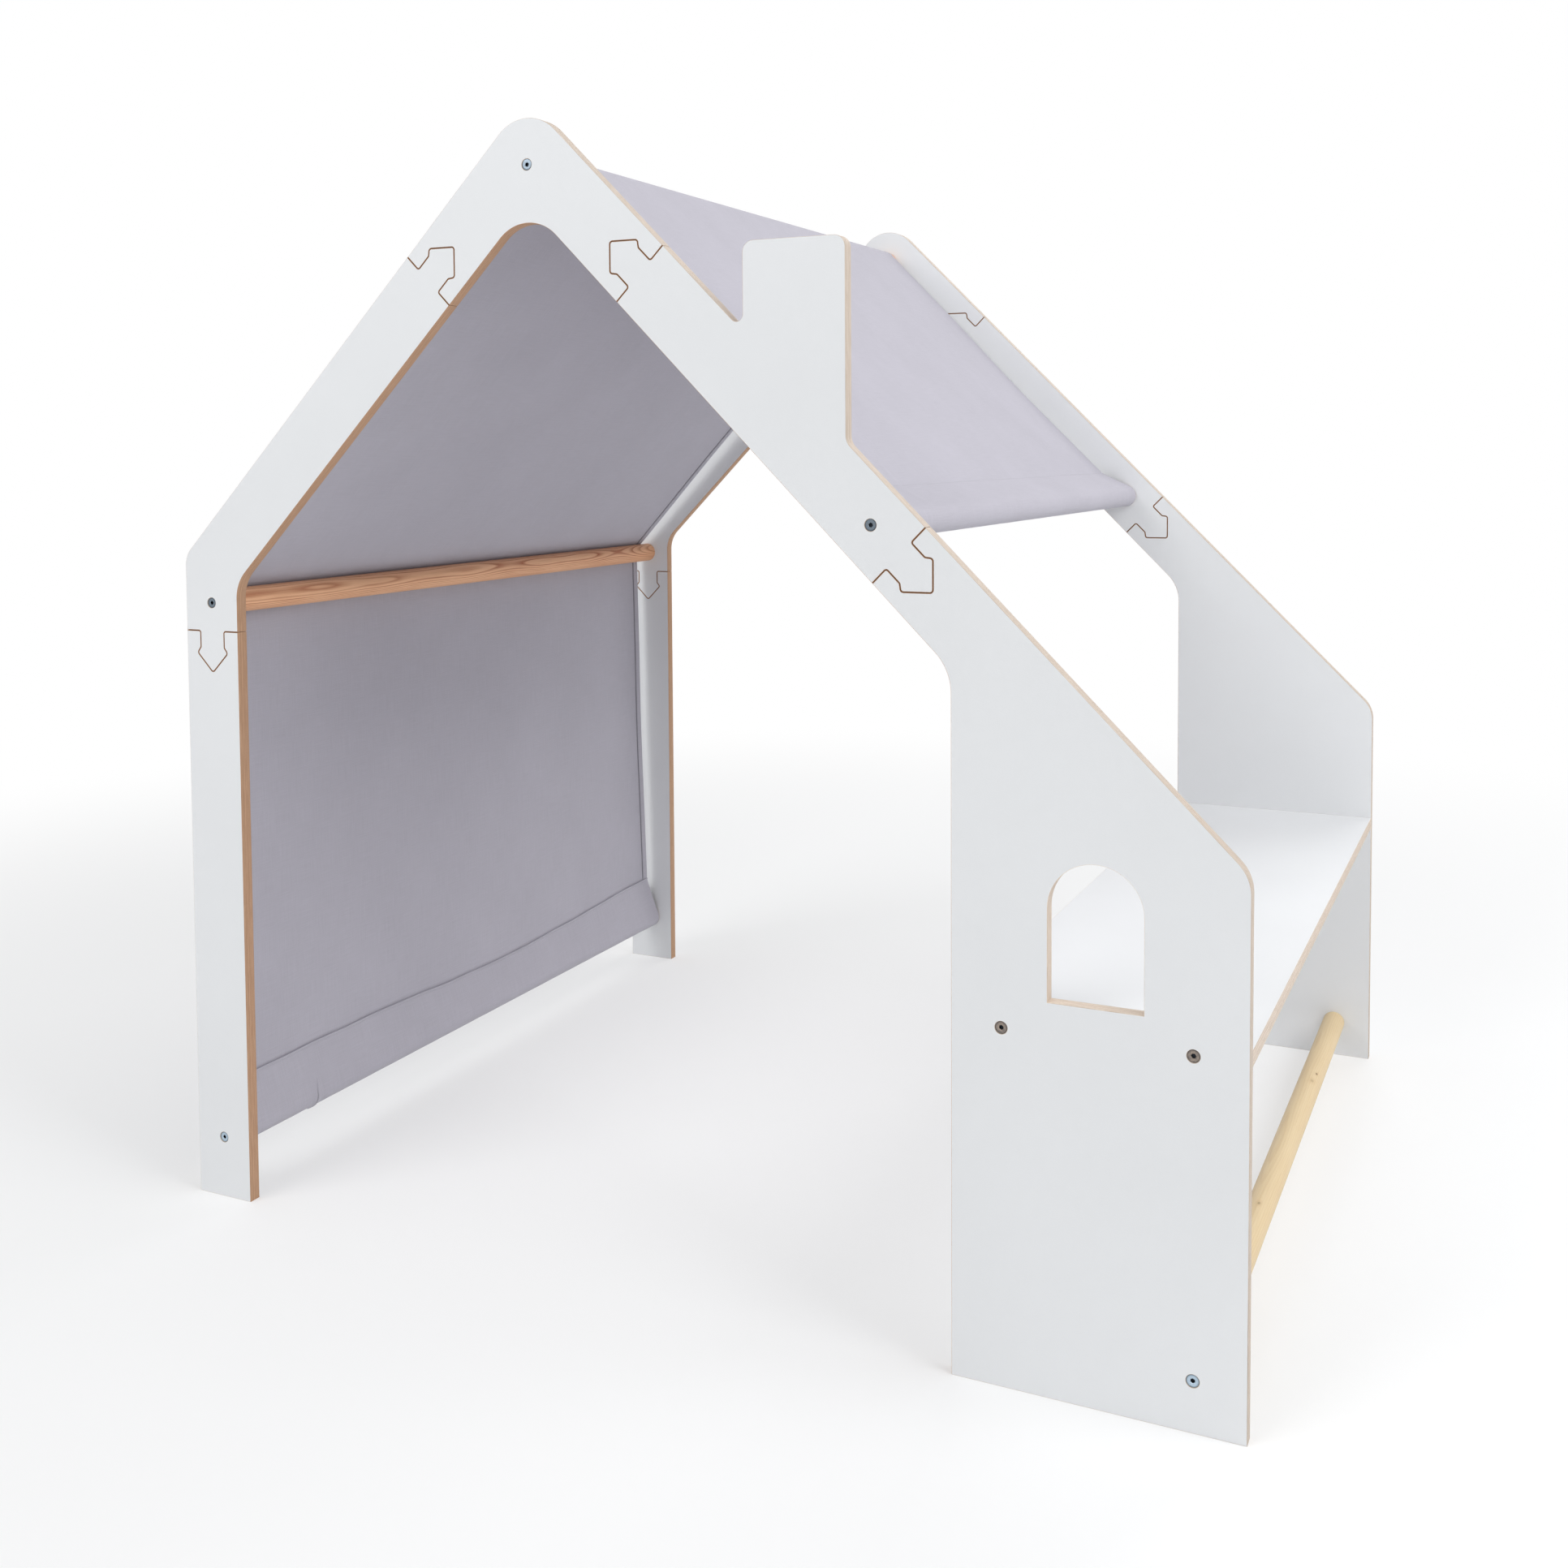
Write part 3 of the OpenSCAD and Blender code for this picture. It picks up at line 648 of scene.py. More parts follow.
def wood_grain():
    """Growth rings cut by a dowel's surface, with fibres along it."""
    tree, given, out = node_group(
        "wood_grain",
        {"Stock": "Vector", "Ring": "Float", "Warp": "Float", "Contrast": "Float",
         "Pale": "Color", "Dark": "Color"},
        {"Color": "Color", "Height": "Float", "Roughness": "Float"})
    stock = given["Stock"]
    split = add(tree, "ShaderNodeSeparateXYZ", {0: stock}).outputs
    across = math_node(tree, "SQRT", math_node(
        tree, "ADD", math_node(tree, "POWER", split[0], 2.0), math_node(tree, "POWER", split[2], 2.0)))
    lazy = noise(tree, scaled(tree, stock, (12.0, 3.5, 12.0)), 1.0, 0.3)
    wander = math_node(tree, "MULTIPLY", ranged(tree, lazy, 0.25, 0.75, -1.0, 1.0), given["Warp"])
    ring = math_node(tree, "DIVIDE", math_node(tree, "ADD", across, wander), given["Ring"])
    within = math_node(tree, "FRACT", ring)
    # A ring darkens slowly towards its late wood and ends at once
    late = add(tree, "ShaderNodeValToRGB", {0: within})
    levels = late.color_ramp.elements
    for end in (0, 1):
        levels[end].color = (0.05, 0.05, 0.05, 1)
    for at, level in ((0.4, 0.12), (0.68, 0.6), (0.86, 1.0)):
        levels.new(at).color = (level, level, level, 1)
    year = math_node(tree, "FLOOR", ring)
    season = add(tree, "ShaderNodeTexWhiteNoise", {"W": year}, noise_dimensions="1D").outputs["Value"]
    fibre = noise(tree, scaled(tree, stock, (1500.0, 22.0, 1500.0)), 3.0, 0.6)
    blotch = noise(tree, scaled(tree, stock, (14.0, 4.0, 14.0)), 3.0)
    shade_of = math_node(tree, "MULTIPLY", late.outputs[0], ranged(tree, season, 0, 1, 0.55, 1.0))
    shade_of = math_node(tree, "MULTIPLY", shade_of, given["Contrast"])
    shade_of = math_node(tree, "ADD", shade_of, ranged(tree, fibre, 0.3, 0.7, -0.16, 0.16))
    shade_of = math_node(tree, "ADD", shade_of, ranged(tree, blotch, 0.3, 0.7, -0.1, 0.16))
    feed(tree, out, {
        "Color": mixed(tree, ranged(tree, shade_of, 0, 1), given["Pale"], given["Dark"]),
        "Height": math_node(tree, "MULTIPLY_ADD", late.outputs[0], 0.5, fibre),
        "Roughness": ranged(tree, fibre, 0.25, 0.75, 0.42, 0.62)})
    return tree


def plain_weave():
    """A plain weave of slightly uneven threads: a tone and a height."""
    tree, given, out = node_group(
        "plain_weave", {"Place": "Vector", "Thread": "Float"}, {"Tone": "Float", "Height": "Float"})
    split = add(tree, "ShaderNodeSeparateXYZ", {0: given["Place"]}).outputs
    turns = [math_node(tree, "DIVIDE", math_node(tree, "MULTIPLY", split[i], math.pi), given["Thread"])
             for i in (0, 1)]
    waves = [math_node(tree, "SINE", turn) for turn in turns]
    over = math_node(tree, "MULTIPLY", waves[0], waves[1])
    weft = noise(tree, scaled(tree, given["Place"], (26.0, 900.0, 1.0)), 3.0, 0.6)
    warp = noise(tree, scaled(tree, given["Place"], (900.0, 26.0, 1.0)), 3.0, 0.6)
    slub = math_node(tree, "ADD", weft, warp)
    cloud = noise(tree, scaled(tree, given["Place"], (9.0, 7.0, 1.0)), 3.0)
    tone = math_node(tree, "ADD", ranged(tree, slub, 0.7, 1.3, -0.6, 0.6),
                     ranged(tree, cloud, 0.3, 0.7, -0.25, 0.25))
    tone = math_node(tree, "MULTIPLY_ADD", over, 0.35, tone)
    feed(tree, out, {
        "Tone": ranged(tree, tone, -1.0, 1.0),
        "Height": math_node(tree, "MULTIPLY_ADD", over, 0.6, slub)})
    return tree


def plated():
    """Plated metal: a cloudy tone, a roughness and a fine grit."""
    tree, given, out = node_group(
        "plated", {"Place": "Vector", "Mottle": "Float", "Base": "Color", "Tarnish": "Color"},
        {"Color": "Color", "Roughness": "Float", "Height": "Float"})
    cloud = noise(tree, scaled(tree, given["Place"], 420.0), 4.0, 0.6)
    grit = noise(tree, scaled(tree, given["Place"], 3000.0), 2.0)
    dull = math_node(tree, "MULTIPLY", ranged(tree, cloud, 0.35, 0.65), given["Mottle"])
    feed(tree, out, {
        "Color": mixed(tree, dull, given["Base"], given["Tarnish"]),
        "Roughness": ranged(tree, cloud, 0.3, 0.7, 0.22, 0.42),
        "Height": math_node(tree, "MULTIPLY_ADD", grit, 0.4, cloud)})
    return tree


def finish_of(name, build):
    """A material that is built the first time that it is asked for."""
    found = bpy.data.materials.get(name)
    if found:
        return found
    made = bpy.data.materials.new(name)
    made.use_nodes = True
    tree = made.node_tree
    build(tree, tree.nodes["Principled BSDF"])
    return made


def object_place(tree):
    return add(tree, "ShaderNodeTexCoord").outputs["Object"]


def attribute(tree, name, output="Fac"):
    return add(tree, "ShaderNodeAttribute", attribute_name=name).outputs[output]


def bump(tree, shader, height, deep, strength=1.0):
    made = add(tree, "ShaderNodeBump", {"Height": height, "Distance": deep, "Strength": strength})
    feed(tree, shader, {"Normal": made.outputs[0]})


def white_laminate(finishes):
    """Cool white laminate with a fine, even texture."""
    def build(tree, shader):
        at = object_place(tree)
        cloud = noise(tree, scaled(tree, at, 5.0), 3.0)
        peel = noise(tree, scaled(tree, at, 950.0), 2.0)
        tone = mixed(tree, ranged(tree, cloud, 0.3, 0.7), rgba(finishes.laminate, 0.975),
                     rgba(finishes.laminate))
        feed(tree, shader, {"Base Color": tone, "Roughness": ranged(tree, cloud, 0.3, 0.7, 0.40, 0.50)})
        bump(tree, shader, peel, 0.00006)
    return finish_of("white_laminate", build)


def ply_edge(name, finishes, sizes, depth_of):
    """Plywood at a board's edge; depth_of gives the depth below the face and the place along the edge."""
    veneer = (PLY_T - 2 * sizes.edge_ease) / sizes.veneers

    def build(tree, shader):
        depth, along = depth_of(tree, add(tree, "ShaderNodeSeparateXYZ", {0: object_place(tree)}).outputs)
        depth = math_node(tree, "SUBTRACT", depth, sizes.edge_ease)
        layers = use_group(tree, ply_layers, {
            "Depth": depth, "Place": along, "Browning_and_painted_light": attribute(tree, "browning_and_painted_light"), "Veneer": veneer,
            "Pale": rgba(finishes.ply_pale), "Dark": rgba(finishes.ply_dark),
            "Glue": rgba(finishes.ply_glue), "Aged": rgba(finishes.aged), "Toast_and_painted_shade": rgba(finishes.toast),
            "Scorch": rgba(finishes.scorch)})
        feed(tree, shader, {"Base Color": layers["Color"], "Roughness": layers["Roughness"]})
        bump(tree, shader, layers["Height"], 0.0002)
    return finish_of(name, build)


def frame_edge(finishes, sizes):
    """Plywood edge of the upright boards, whose veneers lie one behind the other along Y."""
    def depth_of(tree, split):
        depth = math_node(tree, "SUBTRACT", REAR_HIGH.y, math_node(tree, "ABSOLUTE", split[1]))
        return depth, add(tree, "ShaderNodeCombineXYZ", {0: split[0], 1: split[2], 2: split[1]}).outputs[0]
    return ply_edge("frame_edge", finishes, sizes, depth_of)


def counter_edge(finishes, sizes):
    """Plywood edge of the counter, whose veneers lie one under the other."""
    def depth_of(tree, split):
        depth = math_node(tree, "SUBTRACT", COUNTER_HIGH.z, split[2])
        return depth, add(tree, "ShaderNodeCombineXYZ", {0: split[0], 1: split[1], 2: split[2]}).outputs[0]
    return ply_edge("counter_edge", finishes, sizes, depth_of)


def dowel_wood(name, pale, dark, ring, warp, contrast, knots=(), knot_colour=None):
    """Turned wood; knots are places on the surface with their radii and how dark they are."""
    def build(tree, shader):
        grain = use_group(tree, wood_grain, {
            "Stock": attribute(tree, "stock", "Vector"), "Ring": ring, "Warp": warp, "Contrast": contrast,
            "Pale": rgba(pale), "Dark": rgba(dark)})
        tone = grain["Color"]
        at = object_place(tree)
        for spot, radius, depth in knots:
            off = add(tree, "ShaderNodeVectorMath", {0: at, 1: spot}, operation="SUBTRACT").outputs[0]
            off = distance(tree, scaled(tree, off, (1.0, 0.45, 1.0)))
            halo = ranged(tree, off, radius, 3.2 * radius, 0.5, 0.0, smooth=True)
            tone = mixed(tree, halo, tone, rgba(dark))
            core = ranged(tree, off, 0.5 * radius, 1.2 * radius, depth, 0.0, smooth=True)
            tone = mixed(tree, core, tone, rgba(knot_colour))
        feed(tree, shader, {"Base Color": tone, "Roughness": grain["Roughness"]})
        bump(tree, shader, grain["Height"], 0.00012)
    return finish_of(name, build)


def pine_wood(finishes):
    """Reddish pine with close rings."""
    return dowel_wood(
        "pine_wood", finishes.pine_pale, finishes.pine_dark, ring=0.0012, warp=0.0042, contrast=1.0)


def birch_wood(finishes):
    """Pale wood of the footrest, with three small knots on the side that shows."""
    x, z = FOOTREST_AXIS
    # Each knot has its place along the dowel, its turn from the top, its radius and how dark it is
    knots = [
        ((x + DOWEL_R * math.sin(turn), y, z + DOWEL_R * math.cos(turn)), radius, depth)
        for y, turn, radius, depth in (
            (0.255, 0.6, 0.0015, 0.95), (0.225, 0.45, 0.0022, 0.3), (-0.17, 0.1, 0.0017, 0.5))]
    return dowel_wood(
        "birch_wood", finishes.birch_pale, finishes.birch_dark, ring=0.0026, warp=0.004, contrast=0.45,
        knots=knots, knot_colour=finishes.knot)


def woven_cloth(finishes, thread):
    """Lilac grey cloth in a plain weave that follows the sheet."""
    def build(tree, shader):
        weave = use_group(tree, plain_weave, {
            "Place": add(tree, "ShaderNodeUVMap", uv_map="weave").outputs[0], "Thread": thread})
        tone = mixed(tree, weave["Tone"], rgba(finishes.cloth, 0.88), rgba(finishes.cloth, 1.06))
        # Painted shade darkens the cloth in the tuck's valley and in the side hems' grooves
        tone = mixed(tree, attribute(tree, "painted_crease_shade"), tone, rgba(finishes.cloth, 0.3))
        feed(tree, shader, {
            "Base Color": tone, "Roughness": 0.88, "Sheen Weight": 0.12, "Sheen Roughness": 0.5})
        bump(tree, shader, weave["Height"], 0.0003, 0.7)
    return finish_of("woven_cloth", build)


def sewing_thread(finishes):
    def build(tree, shader):
        twist = noise(tree, scaled(tree, object_place(tree), 1500.0), 2.0)
        tone = mixed(tree, twist, rgba(finishes.thread, 0.8), rgba(finishes.thread))
        feed(tree, shader, {"Base Color": tone, "Roughness": 0.7})
        bump(tree, shader, twist, 0.0001)
    return finish_of("sewing_thread", build)


def plated_metal(name, finishes, base, bright, mottle):
    """Plated steel of the bolts, inserts and nuts, with painted reflection and painted shade on the bolts.
    """
    def build(tree, shader):
        skin = use_group(tree, plated, {
            "Place": object_place(tree), "Mottle": mottle, "Base": rgba(base),
            "Tarnish": rgba(finishes.tarnish)})
        # Painted reflection: each bolt's plating is mixed towards the brighter copy of its colour
        tone = mixed(tree, attribute(tree, "painted_reflection"), skin["Color"], rgba(bright))
        # Painted shade darkens the bolts' sockets and the rims of their heads
        tone = mixed(tree, attribute(tree, "painted_bolt_shade"), tone, rgba(finishes.painted_bolt_shade))
        feed(tree, shader, {"Base Color": tone, "Roughness": skin["Roughness"], "Metallic": 1.0})
        bump(tree, shader, skin["Height"], 0.00004)
    return finish_of(name, build)


def zinc_metal(finishes):
    return plated_metal("zinc_metal", finishes, finishes.zinc, finishes.bright_zinc, 0.35)


def bronze_metal(finishes):
    return plated_metal("bronze_metal", finishes, finishes.bronze, finishes.bronze, 0.85)


# Frame boards and counter

LAMINATE_INDEX, EDGE_INDEX = 0, 1
# The wall of a bolt hole lies within this many of its radii
HOLE_REACH = 1.2
# How far the plywood is tinted at each kind of edge: the joints are really scorched; inside the doorway the
# tint is partly scorch and partly painted shade; the window's edges are left untinted and paler, as painted
# light
BROWNING_AND_PAINTED_LIGHT = {"joint": 1.0, "doorway": 0.5, "outside": 0.2, "counter": 0.09, "window": 0.0}


def coat(mesh, axis, laminate, edge, browning_and_painted_light):
    """Laminate on the two faces square to an axis, bare plywood on the cut and the eased edges.

    The third argument gives for each polygon how far the plywood is tinted, partly by browning and partly
    by painted light and shade.
    """
    mesh.materials.clear()
    mesh.materials.append(laminate)
    mesh.materials.append(edge)
    for polygon in mesh.polygons:
        covered = abs(polygon.normal[axis]) > 0.999
        polygon.material_index = LAMINATE_INDEX if covered else EDGE_INDEX
    layer = mesh.attributes.new("browning_and_painted_light", "FLOAT", "FACE")
    layer.data.foreach_set("value", browning_and_painted_light)


def near(points, lines, reach):
    """Which points lie within a reach of lines in the plane."""
    return np.linalg.norm(away_from(points, lines), axis=1) < reach


def ease_joints(mesh, shape):
    """Moves the joints' walls out from their rims, which stay where they are on the two faces."""
    sizes = shape.sizes
    at = places(mesh)
    off = away_from(at[:, [0, 2]], shape.cuts())
    far = np.linalg.norm(off, axis=1)
    depth = np.minimum(at[:, 1] - at[:, 1].min(), at[:, 1].max() - at[:, 1])
    wall = (far < shape.cut_reach()) & (depth > 0.1 * sizes.edge_ease)
    at[np.ix_(wall, (0, 2))] -= off[wall] / far[wall, None] * sizes.joint_ease
    move_to(mesh, at)


def browning_of(mesh, shape, bolt_axes, hole_r):
    """How far the plywood is tinted on each polygon of a board: browning, with painted shade inside the
    doorway and painted light in the window.
    """
    centres = np.array([polygon.center for polygon in mesh.polygons])[:, [0, 2]]
    normals = np.array([polygon.normal for polygon in mesh.polygons])[:, [0, 2]]
    window = shape.window()
    browning_and_painted_light = np.full(len(centres), BROWNING_AND_PAINTED_LIGHT["outside"])
    inward = ((shape.doorway() - centres) * normals).sum(axis=1) > 0
    # Edges facing the doorway take the toast, partly painted shade; the window's edges stay pale as painted
    # light
    browning_and_painted_light[inward & (centres[:, 0] < shape.panel_in + PLY_T)] = BROWNING_AND_PAINTED_LIGHT["doorway"]
    browning_and_painted_light[near(centres, [window + window[:1]], shape.cut_reach())] = BROWNING_AND_PAINTED_LIGHT["window"]
    browning_and_painted_light[near(centres, shape.cuts(), shape.cut_reach())] = BROWNING_AND_PAINTED_LIGHT["joint"]
    for axis in bolt_axes:
        browning_and_painted_light[np.linalg.norm(centres - axis, axis=1) < HOLE_REACH * hole_r] = BROWNING_AND_PAINTED_LIGHT["outside"]
    return browning_and_painted_light


def narrow_holes(mesh, axes, face_y, hole_r, back_r):
    """Narrows the bolt holes towards the back of a board, as a countersink does."""
    at = places(mesh)
    for axis in axes:
        off = at[:, [0, 2]] - axis
        far = np.linalg.norm(off, axis=1)
        back = (far < HOLE_REACH * hole_r) & (abs(at[:, 1] - face_y) > PLY_T / 2)
        share = 1 + (back_r - hole_r) / far[back, None]
        at[np.ix_(back, (0, 2))] = axis + off[back] * share
    move_to(mesh, at)


class PLAYHOUSE_OT_frames(bpy.types.Operator):
    """Build the ten boards of the two house-shaped frames."""
    bl_idname = "playhouse.frames"
    bl_label = "Frame boards"

    def execute(self, context):
        given = settings(context)
        sizes, bolts, finishes = given["frames"], given["bolts"], given["finishes"]
        shape = FrameShape(sizes)
        laminate = white_laminate(finishes)
        edge = frame_edge(finishes, sizes)
        hole_r, back_r = bolts.head_d / 2 + bolts.hole_gap, bolts.shank_d / 2 + bolts.hole_gap
        bolt_axes = {
            "left_post": [WALL_HEM_AXIS], "left_rafter": [EAVE_AXIS], "apex": [RIDGE_AXIS],
            "right_rafter": [ROOF_HEM_AXIS], "side_panel": [FOOTREST_AXIS, *shape.counter_bolts()]}
        for side, low, high, outer_y in (
                ("front", POST_LOW.y, POST_HIGH.y, POST_LOW.y),
                ("rear", REAR_LOW.y, REAR_HIGH.y, REAR_HIGH.y)):
            upright = Matrix.Translation((0, (low + high) / 2, 0)) @ Matrix.Rotation(math.pi / 2, 4, "X")
            for board, corners in shape.boards(side == "front").items():
                name = side + "_" + board
                axes = bolt_axes[board]
                loops = [rounded(corners)] + [circle(axis, hole_r) for axis in axes]
                if name == "front_side_panel":
                    loops.append(shape.window())
                mesh = extruded(name + "_outline", loops, PLY_T, sizes.edge_ease)
                mesh.transform(upright)
                ease_joints(mesh, shape)
                coat(mesh, 1, laminate, edge, browning_of(mesh, shape, axes, hole_r))
                narrow_holes(mesh, axes, outer_y, hole_r, back_r)
                shade(mesh, LAMINATE_INDEX)
                piece(name + "_board", mesh, "laminated_ply", name)
        return {"FINISHED"}


class PLAYHOUSE_OT_counter(bpy.types.Operator):
    """Build the counter board with the holes for its barrel nuts."""
    bl_idname = "playhouse.counter"
    bl_label = "Counter"

    def execute(self, context):
        given = settings(context)
        sizes, finishes = given["frames"], given["finishes"]
        low, high = COUNTER_LOW, COUNTER_HIGH
        corners = [(low.x, low.y), (high.x, low.y), (high.x, high.y), (low.x, high.y)]
        mesh = extruded("counter_outline", [corners], PLY_T, sizes.edge_ease)
        mesh.transform(Matrix.Translation((0, 0, (low.z + high.z) / 2)))
        board = linked("counter_blank", mesh)
        drill = bmesh.new()
        radius, depth = sizes.nut_hole_d / 2, 2 * sizes.nut_hole_depth
        for axis in FrameShape(sizes).counter_bolts():
            for y in (low.y + sizes.nut_inset, high.y - sizes.nut_inset):
                bmesh.ops.create_cone(
                    drill, cap_ends=True, segments=40, radius1=radius, radius2=radius, depth=depth,
                    matrix=Matrix.Translation((axis[0], y, low.z)))
        drills = linked("nut_drills", mesh_from(drill, "nut_drills"))
        cut = board.modifiers.new("nut_holes", "BOOLEAN")
        cut.operation = "DIFFERENCE"
        cut.solver = "EXACT"
        cut.object = drills
        mesh = baked(board)
        bpy.data.objects.remove(drills)
        browning_and_painted_light = [BROWNING_AND_PAINTED_LIGHT["counter"]] * len(mesh.polygons)
        coat(mesh, 2, white_laminate(finishes), counter_edge(finishes, sizes), browning_and_painted_light)
        shade(mesh, LAMINATE_INDEX)
        piece("counter_board", mesh, "laminated_ply", "table_top")
        return {"FINISHED"}


# Dowels

# For each dowel, how it was turned from its log: roll, distance from the pith and place along the log
DOWEL_STOCK = {
    "ridge_dowel": (0.3, 0.031, 0.7),
    "eave_dowel": (-0.45, 0.026, 3.1),
    "wall_hem_dowel": (4.0, 0.035, 5.4),
    "roof_hem_dowel": (5.1, 0.028, 7.9),
    "footrest_dowel": (1.2, 0.040, 11.3),
}


class PLAYHOUSE_OT_dowels(bpy.types.Operator):
    """Turn the five dowels between the frames, with the holes in their ends."""
    bl_idname = "playhouse.dowels"
    bl_label = "Dowels"

    segments = 96

    def execute(self, context):
        given = settings(context)
        sizes, finishes = given["dowels"], given["finishes"]
        for name, (roll, pith_off, along) in DOWEL_STOCK.items():
            low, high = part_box(name)
            axis = middle(name)
            end = [
                (0.0, sizes.bolt_hole_l), (sizes.bolt_hole_d / 2, sizes.bolt_hole_l),
                (sizes.bolt_hole_d / 2, sizes.insert_l), (sizes.insert_d / 2, sizes.insert_l),
                (sizes.insert_d / 2, 0.0), (DOWEL_R - sizes.chamfer, 0.0), (DOWEL_R, sizes.chamfer)]
            profile = [(r, low.y + y) for r, y in end] + [(r, high.y - y) for r, y in reversed(end)]
            rings = []
            for r, y in profile:
                count = self.segments if r else 1
                rings.append([(x, y, z) for x, z in circle(axis, r, count)])
            mesh = rings_to_mesh(name + "_turning", rings)
            is_footrest = name == "footrest_dowel"
            mesh.materials.append(birch_wood(finishes) if is_footrest else pine_wood(finishes))
            at = places(mesh)
            x, z = turned((at[:, [0, 2]] - axis).T, roll)
            set_values(mesh, "stock", "FLOAT_VECTOR", np.column_stack((x + pith_off, at[:, 1] + along, z)))
            shade(mesh)
            piece(name + "_turned", mesh, "birch_dowel" if is_footrest else "pine_dowel", name)
        return {"FINISHED"}


# Geometry node trees

def geometry_tree(name, inputs):
    """A new geometry node tree: the tree, its inputs by name and a function that closes it."""
    tree = bpy.data.node_groups.new(name, "GeometryNodeTree")
    tree.interface.new_socket("Geometry", in_out="INPUT", socket_type="NodeSocketGeometry")
    for label, kind in inputs.items():
        tree.interface.new_socket(label, in_out="INPUT", socket_type="NodeSocket" + kind)
    tree.interface.new_socket("Geometry", in_out="OUTPUT", socket_type="NodeSocketGeometry")
    given = tree.nodes.new("NodeGroupInput").outputs

    def close(geometry):
        real = add(tree, "GeometryNodeRealizeInstances", {0: geometry}).outputs[0]
        coated = add(tree, "GeometryNodeSetMaterial", {"Geometry": real, "Material": given["Finish"]})
        tree.links.new(coated.outputs[0], tree.nodes.new("NodeGroupOutput").inputs["Geometry"])
        return tree

    return tree, given, close


def grown(tree, source, inputs):
    """The plain mesh that a geometry node tree makes of an object, which is removed."""
    modifier = source.modifiers.new(tree.name, "NODES")
    modifier.node_group = tree
    for item in tree.interface.items_tree:
        if item.in_out == "INPUT" and item.name in inputs:
            modifier[item.identifier] = inputs[item.name]
    return baked(source)


def bolts_at_points():
    """A bolt at each point, facing one way, each turned about its own axis at random."""
    tree, given, close = geometry_tree(
        "bolts_at_points", {"Bolt": "Object", "Facing": "Vector", "Seed": "Int", "Finish": "Material"})
    bolt = add(tree, "GeometryNodeObjectInfo", {"Object": given["Bolt"], "As Instance": True})
    facing = add(tree, "FunctionNodeEulerToRotation", {0: given["Facing"]}).outputs[0]
    set_out = add(tree, "GeometryNodeInstanceOnPoints", {
        "Points": given["Geometry"], "Instance": bolt.outputs["Geometry"], "Rotation": facing}).outputs[0]
    any_turn = {2: 0.0, 3: math.tau, "Seed": given["Seed"]}
    roll = add(tree, "FunctionNodeRandomValue", any_turn, data_type="FLOAT")
    spin = add(tree, "ShaderNodeCombineXYZ", {2: roll.outputs[1]}).outputs[0]
    spin = add(tree, "FunctionNodeEulerToRotation", {0: spin}).outputs[0]
    rolled = add(tree, "GeometryNodeRotateInstances", {
        "Instances": set_out, "Rotation": spin, "Local Space": True}).outputs[0]
    return close(rolled)


def stitches_along_lines():
    """Stitches end to end along lines."""
    tree, given, close = geometry_tree(
        "stitches_along_lines",
        {"Pitch": "Float", "Length": "Float", "Radius": "Float", "Finish": "Material"})
    line = add(tree, "GeometryNodeMeshToCurve", {"Mesh": given["Geometry"]}).outputs[0]
    spaced = {"Curve": line, "Length": given["Pitch"]}
    even = add(tree, "GeometryNodeResampleCurve", spaced, mode="LENGTH").outputs[0]
    along = add(tree, "GeometryNodeInputTangent").outputs[0]
    turn = add(tree, "FunctionNodeAlignRotationToVector", {"Vector": along}, axis="X").outputs[0]
    bead = add(tree, "GeometryNodeMeshIcoSphere", {"Radius": 1.0, "Subdivisions": 1}).outputs[0]
    half = math_node(tree, "MULTIPLY", given["Length"], 0.5)
    size = add(tree, "ShaderNodeCombineXYZ", {0: half, 1: given["Radius"], 2: given["Radius"]}).outputs[0]
    sewn = add(tree, "GeometryNodeInstanceOnPoints", {
        "Points": even, "Instance": bead, "Rotation": turn, "Scale": size}).outputs[0]
    return close(sewn)


# Bolts

def bolt_mesh(sizes):
    """A countersunk bolt with a hexagon socket, its head towards -Z and its shank along +Z."""
    points = 48
    angles = [math.tau * k / points for k in range(points)]
    sixth = math.pi / 3
    hexagon = [sizes.hex_af / 2 / math.cos((a + sixth / 2) % sixth - sixth / 2) for a in angles]
    head, shank = sizes.head_d / 2, sizes.shank_d / 2
    tip, lip = PLY_T + sizes.reach, sizes.lip
    # Each ring has its size, its depth and how much painted shade darkens it: painted shade fills the
    # socket and darkens the head's outer rim; the socket's eased rim is left bright
    socket_rings = [
        (1.0, sizes.hex_depth, 1.0), (1.0, sizes.sink + 2.5 * lip, 0.9), (1.0, sizes.sink + lip, 0.0),
        (1.16, sizes.sink, 0.0)]
    round_rings = [
        (0.7 * head, sizes.sink, 0.0), (0.9 * head, sizes.sink, 0.35),
        (head - 0.4 * lip, sizes.sink + 0.3 * lip, 0.7), (head, sizes.sink + lip, 0.7),
        (head, sizes.rim + sizes.sink, 0.0), (shank, sizes.rim + sizes.sink + head - shank, 0.0),
        (shank, tip - lip, 0.0), (shank - lip, tip, 0.0)]
    rings = [[(0.0, 0.0, sizes.hex_depth + lip)]]
    for share, z, dark in socket_rings:
        rings.append([
            (share * r * math.cos(a), share * r * math.sin(a), z) for r, a in zip(hexagon, angles)])
    for r, z, dark in round_rings:
        rings.append([(r * math.cos(a), r * math.sin(a), z) for a in angles])
    rings.append([(0.0, 0.0, tip)])
    mesh = rings_to_mesh("bolt_pattern", rings)
    levels = np.repeat([dark for size, z, dark in socket_rings + round_rings], points)
    set_values(mesh, "painted_bolt_shade", "FLOAT", np.concatenate(([1.0], levels, [0.0])))
    shade(mesh, sharp=math.radians(28))
    return mesh


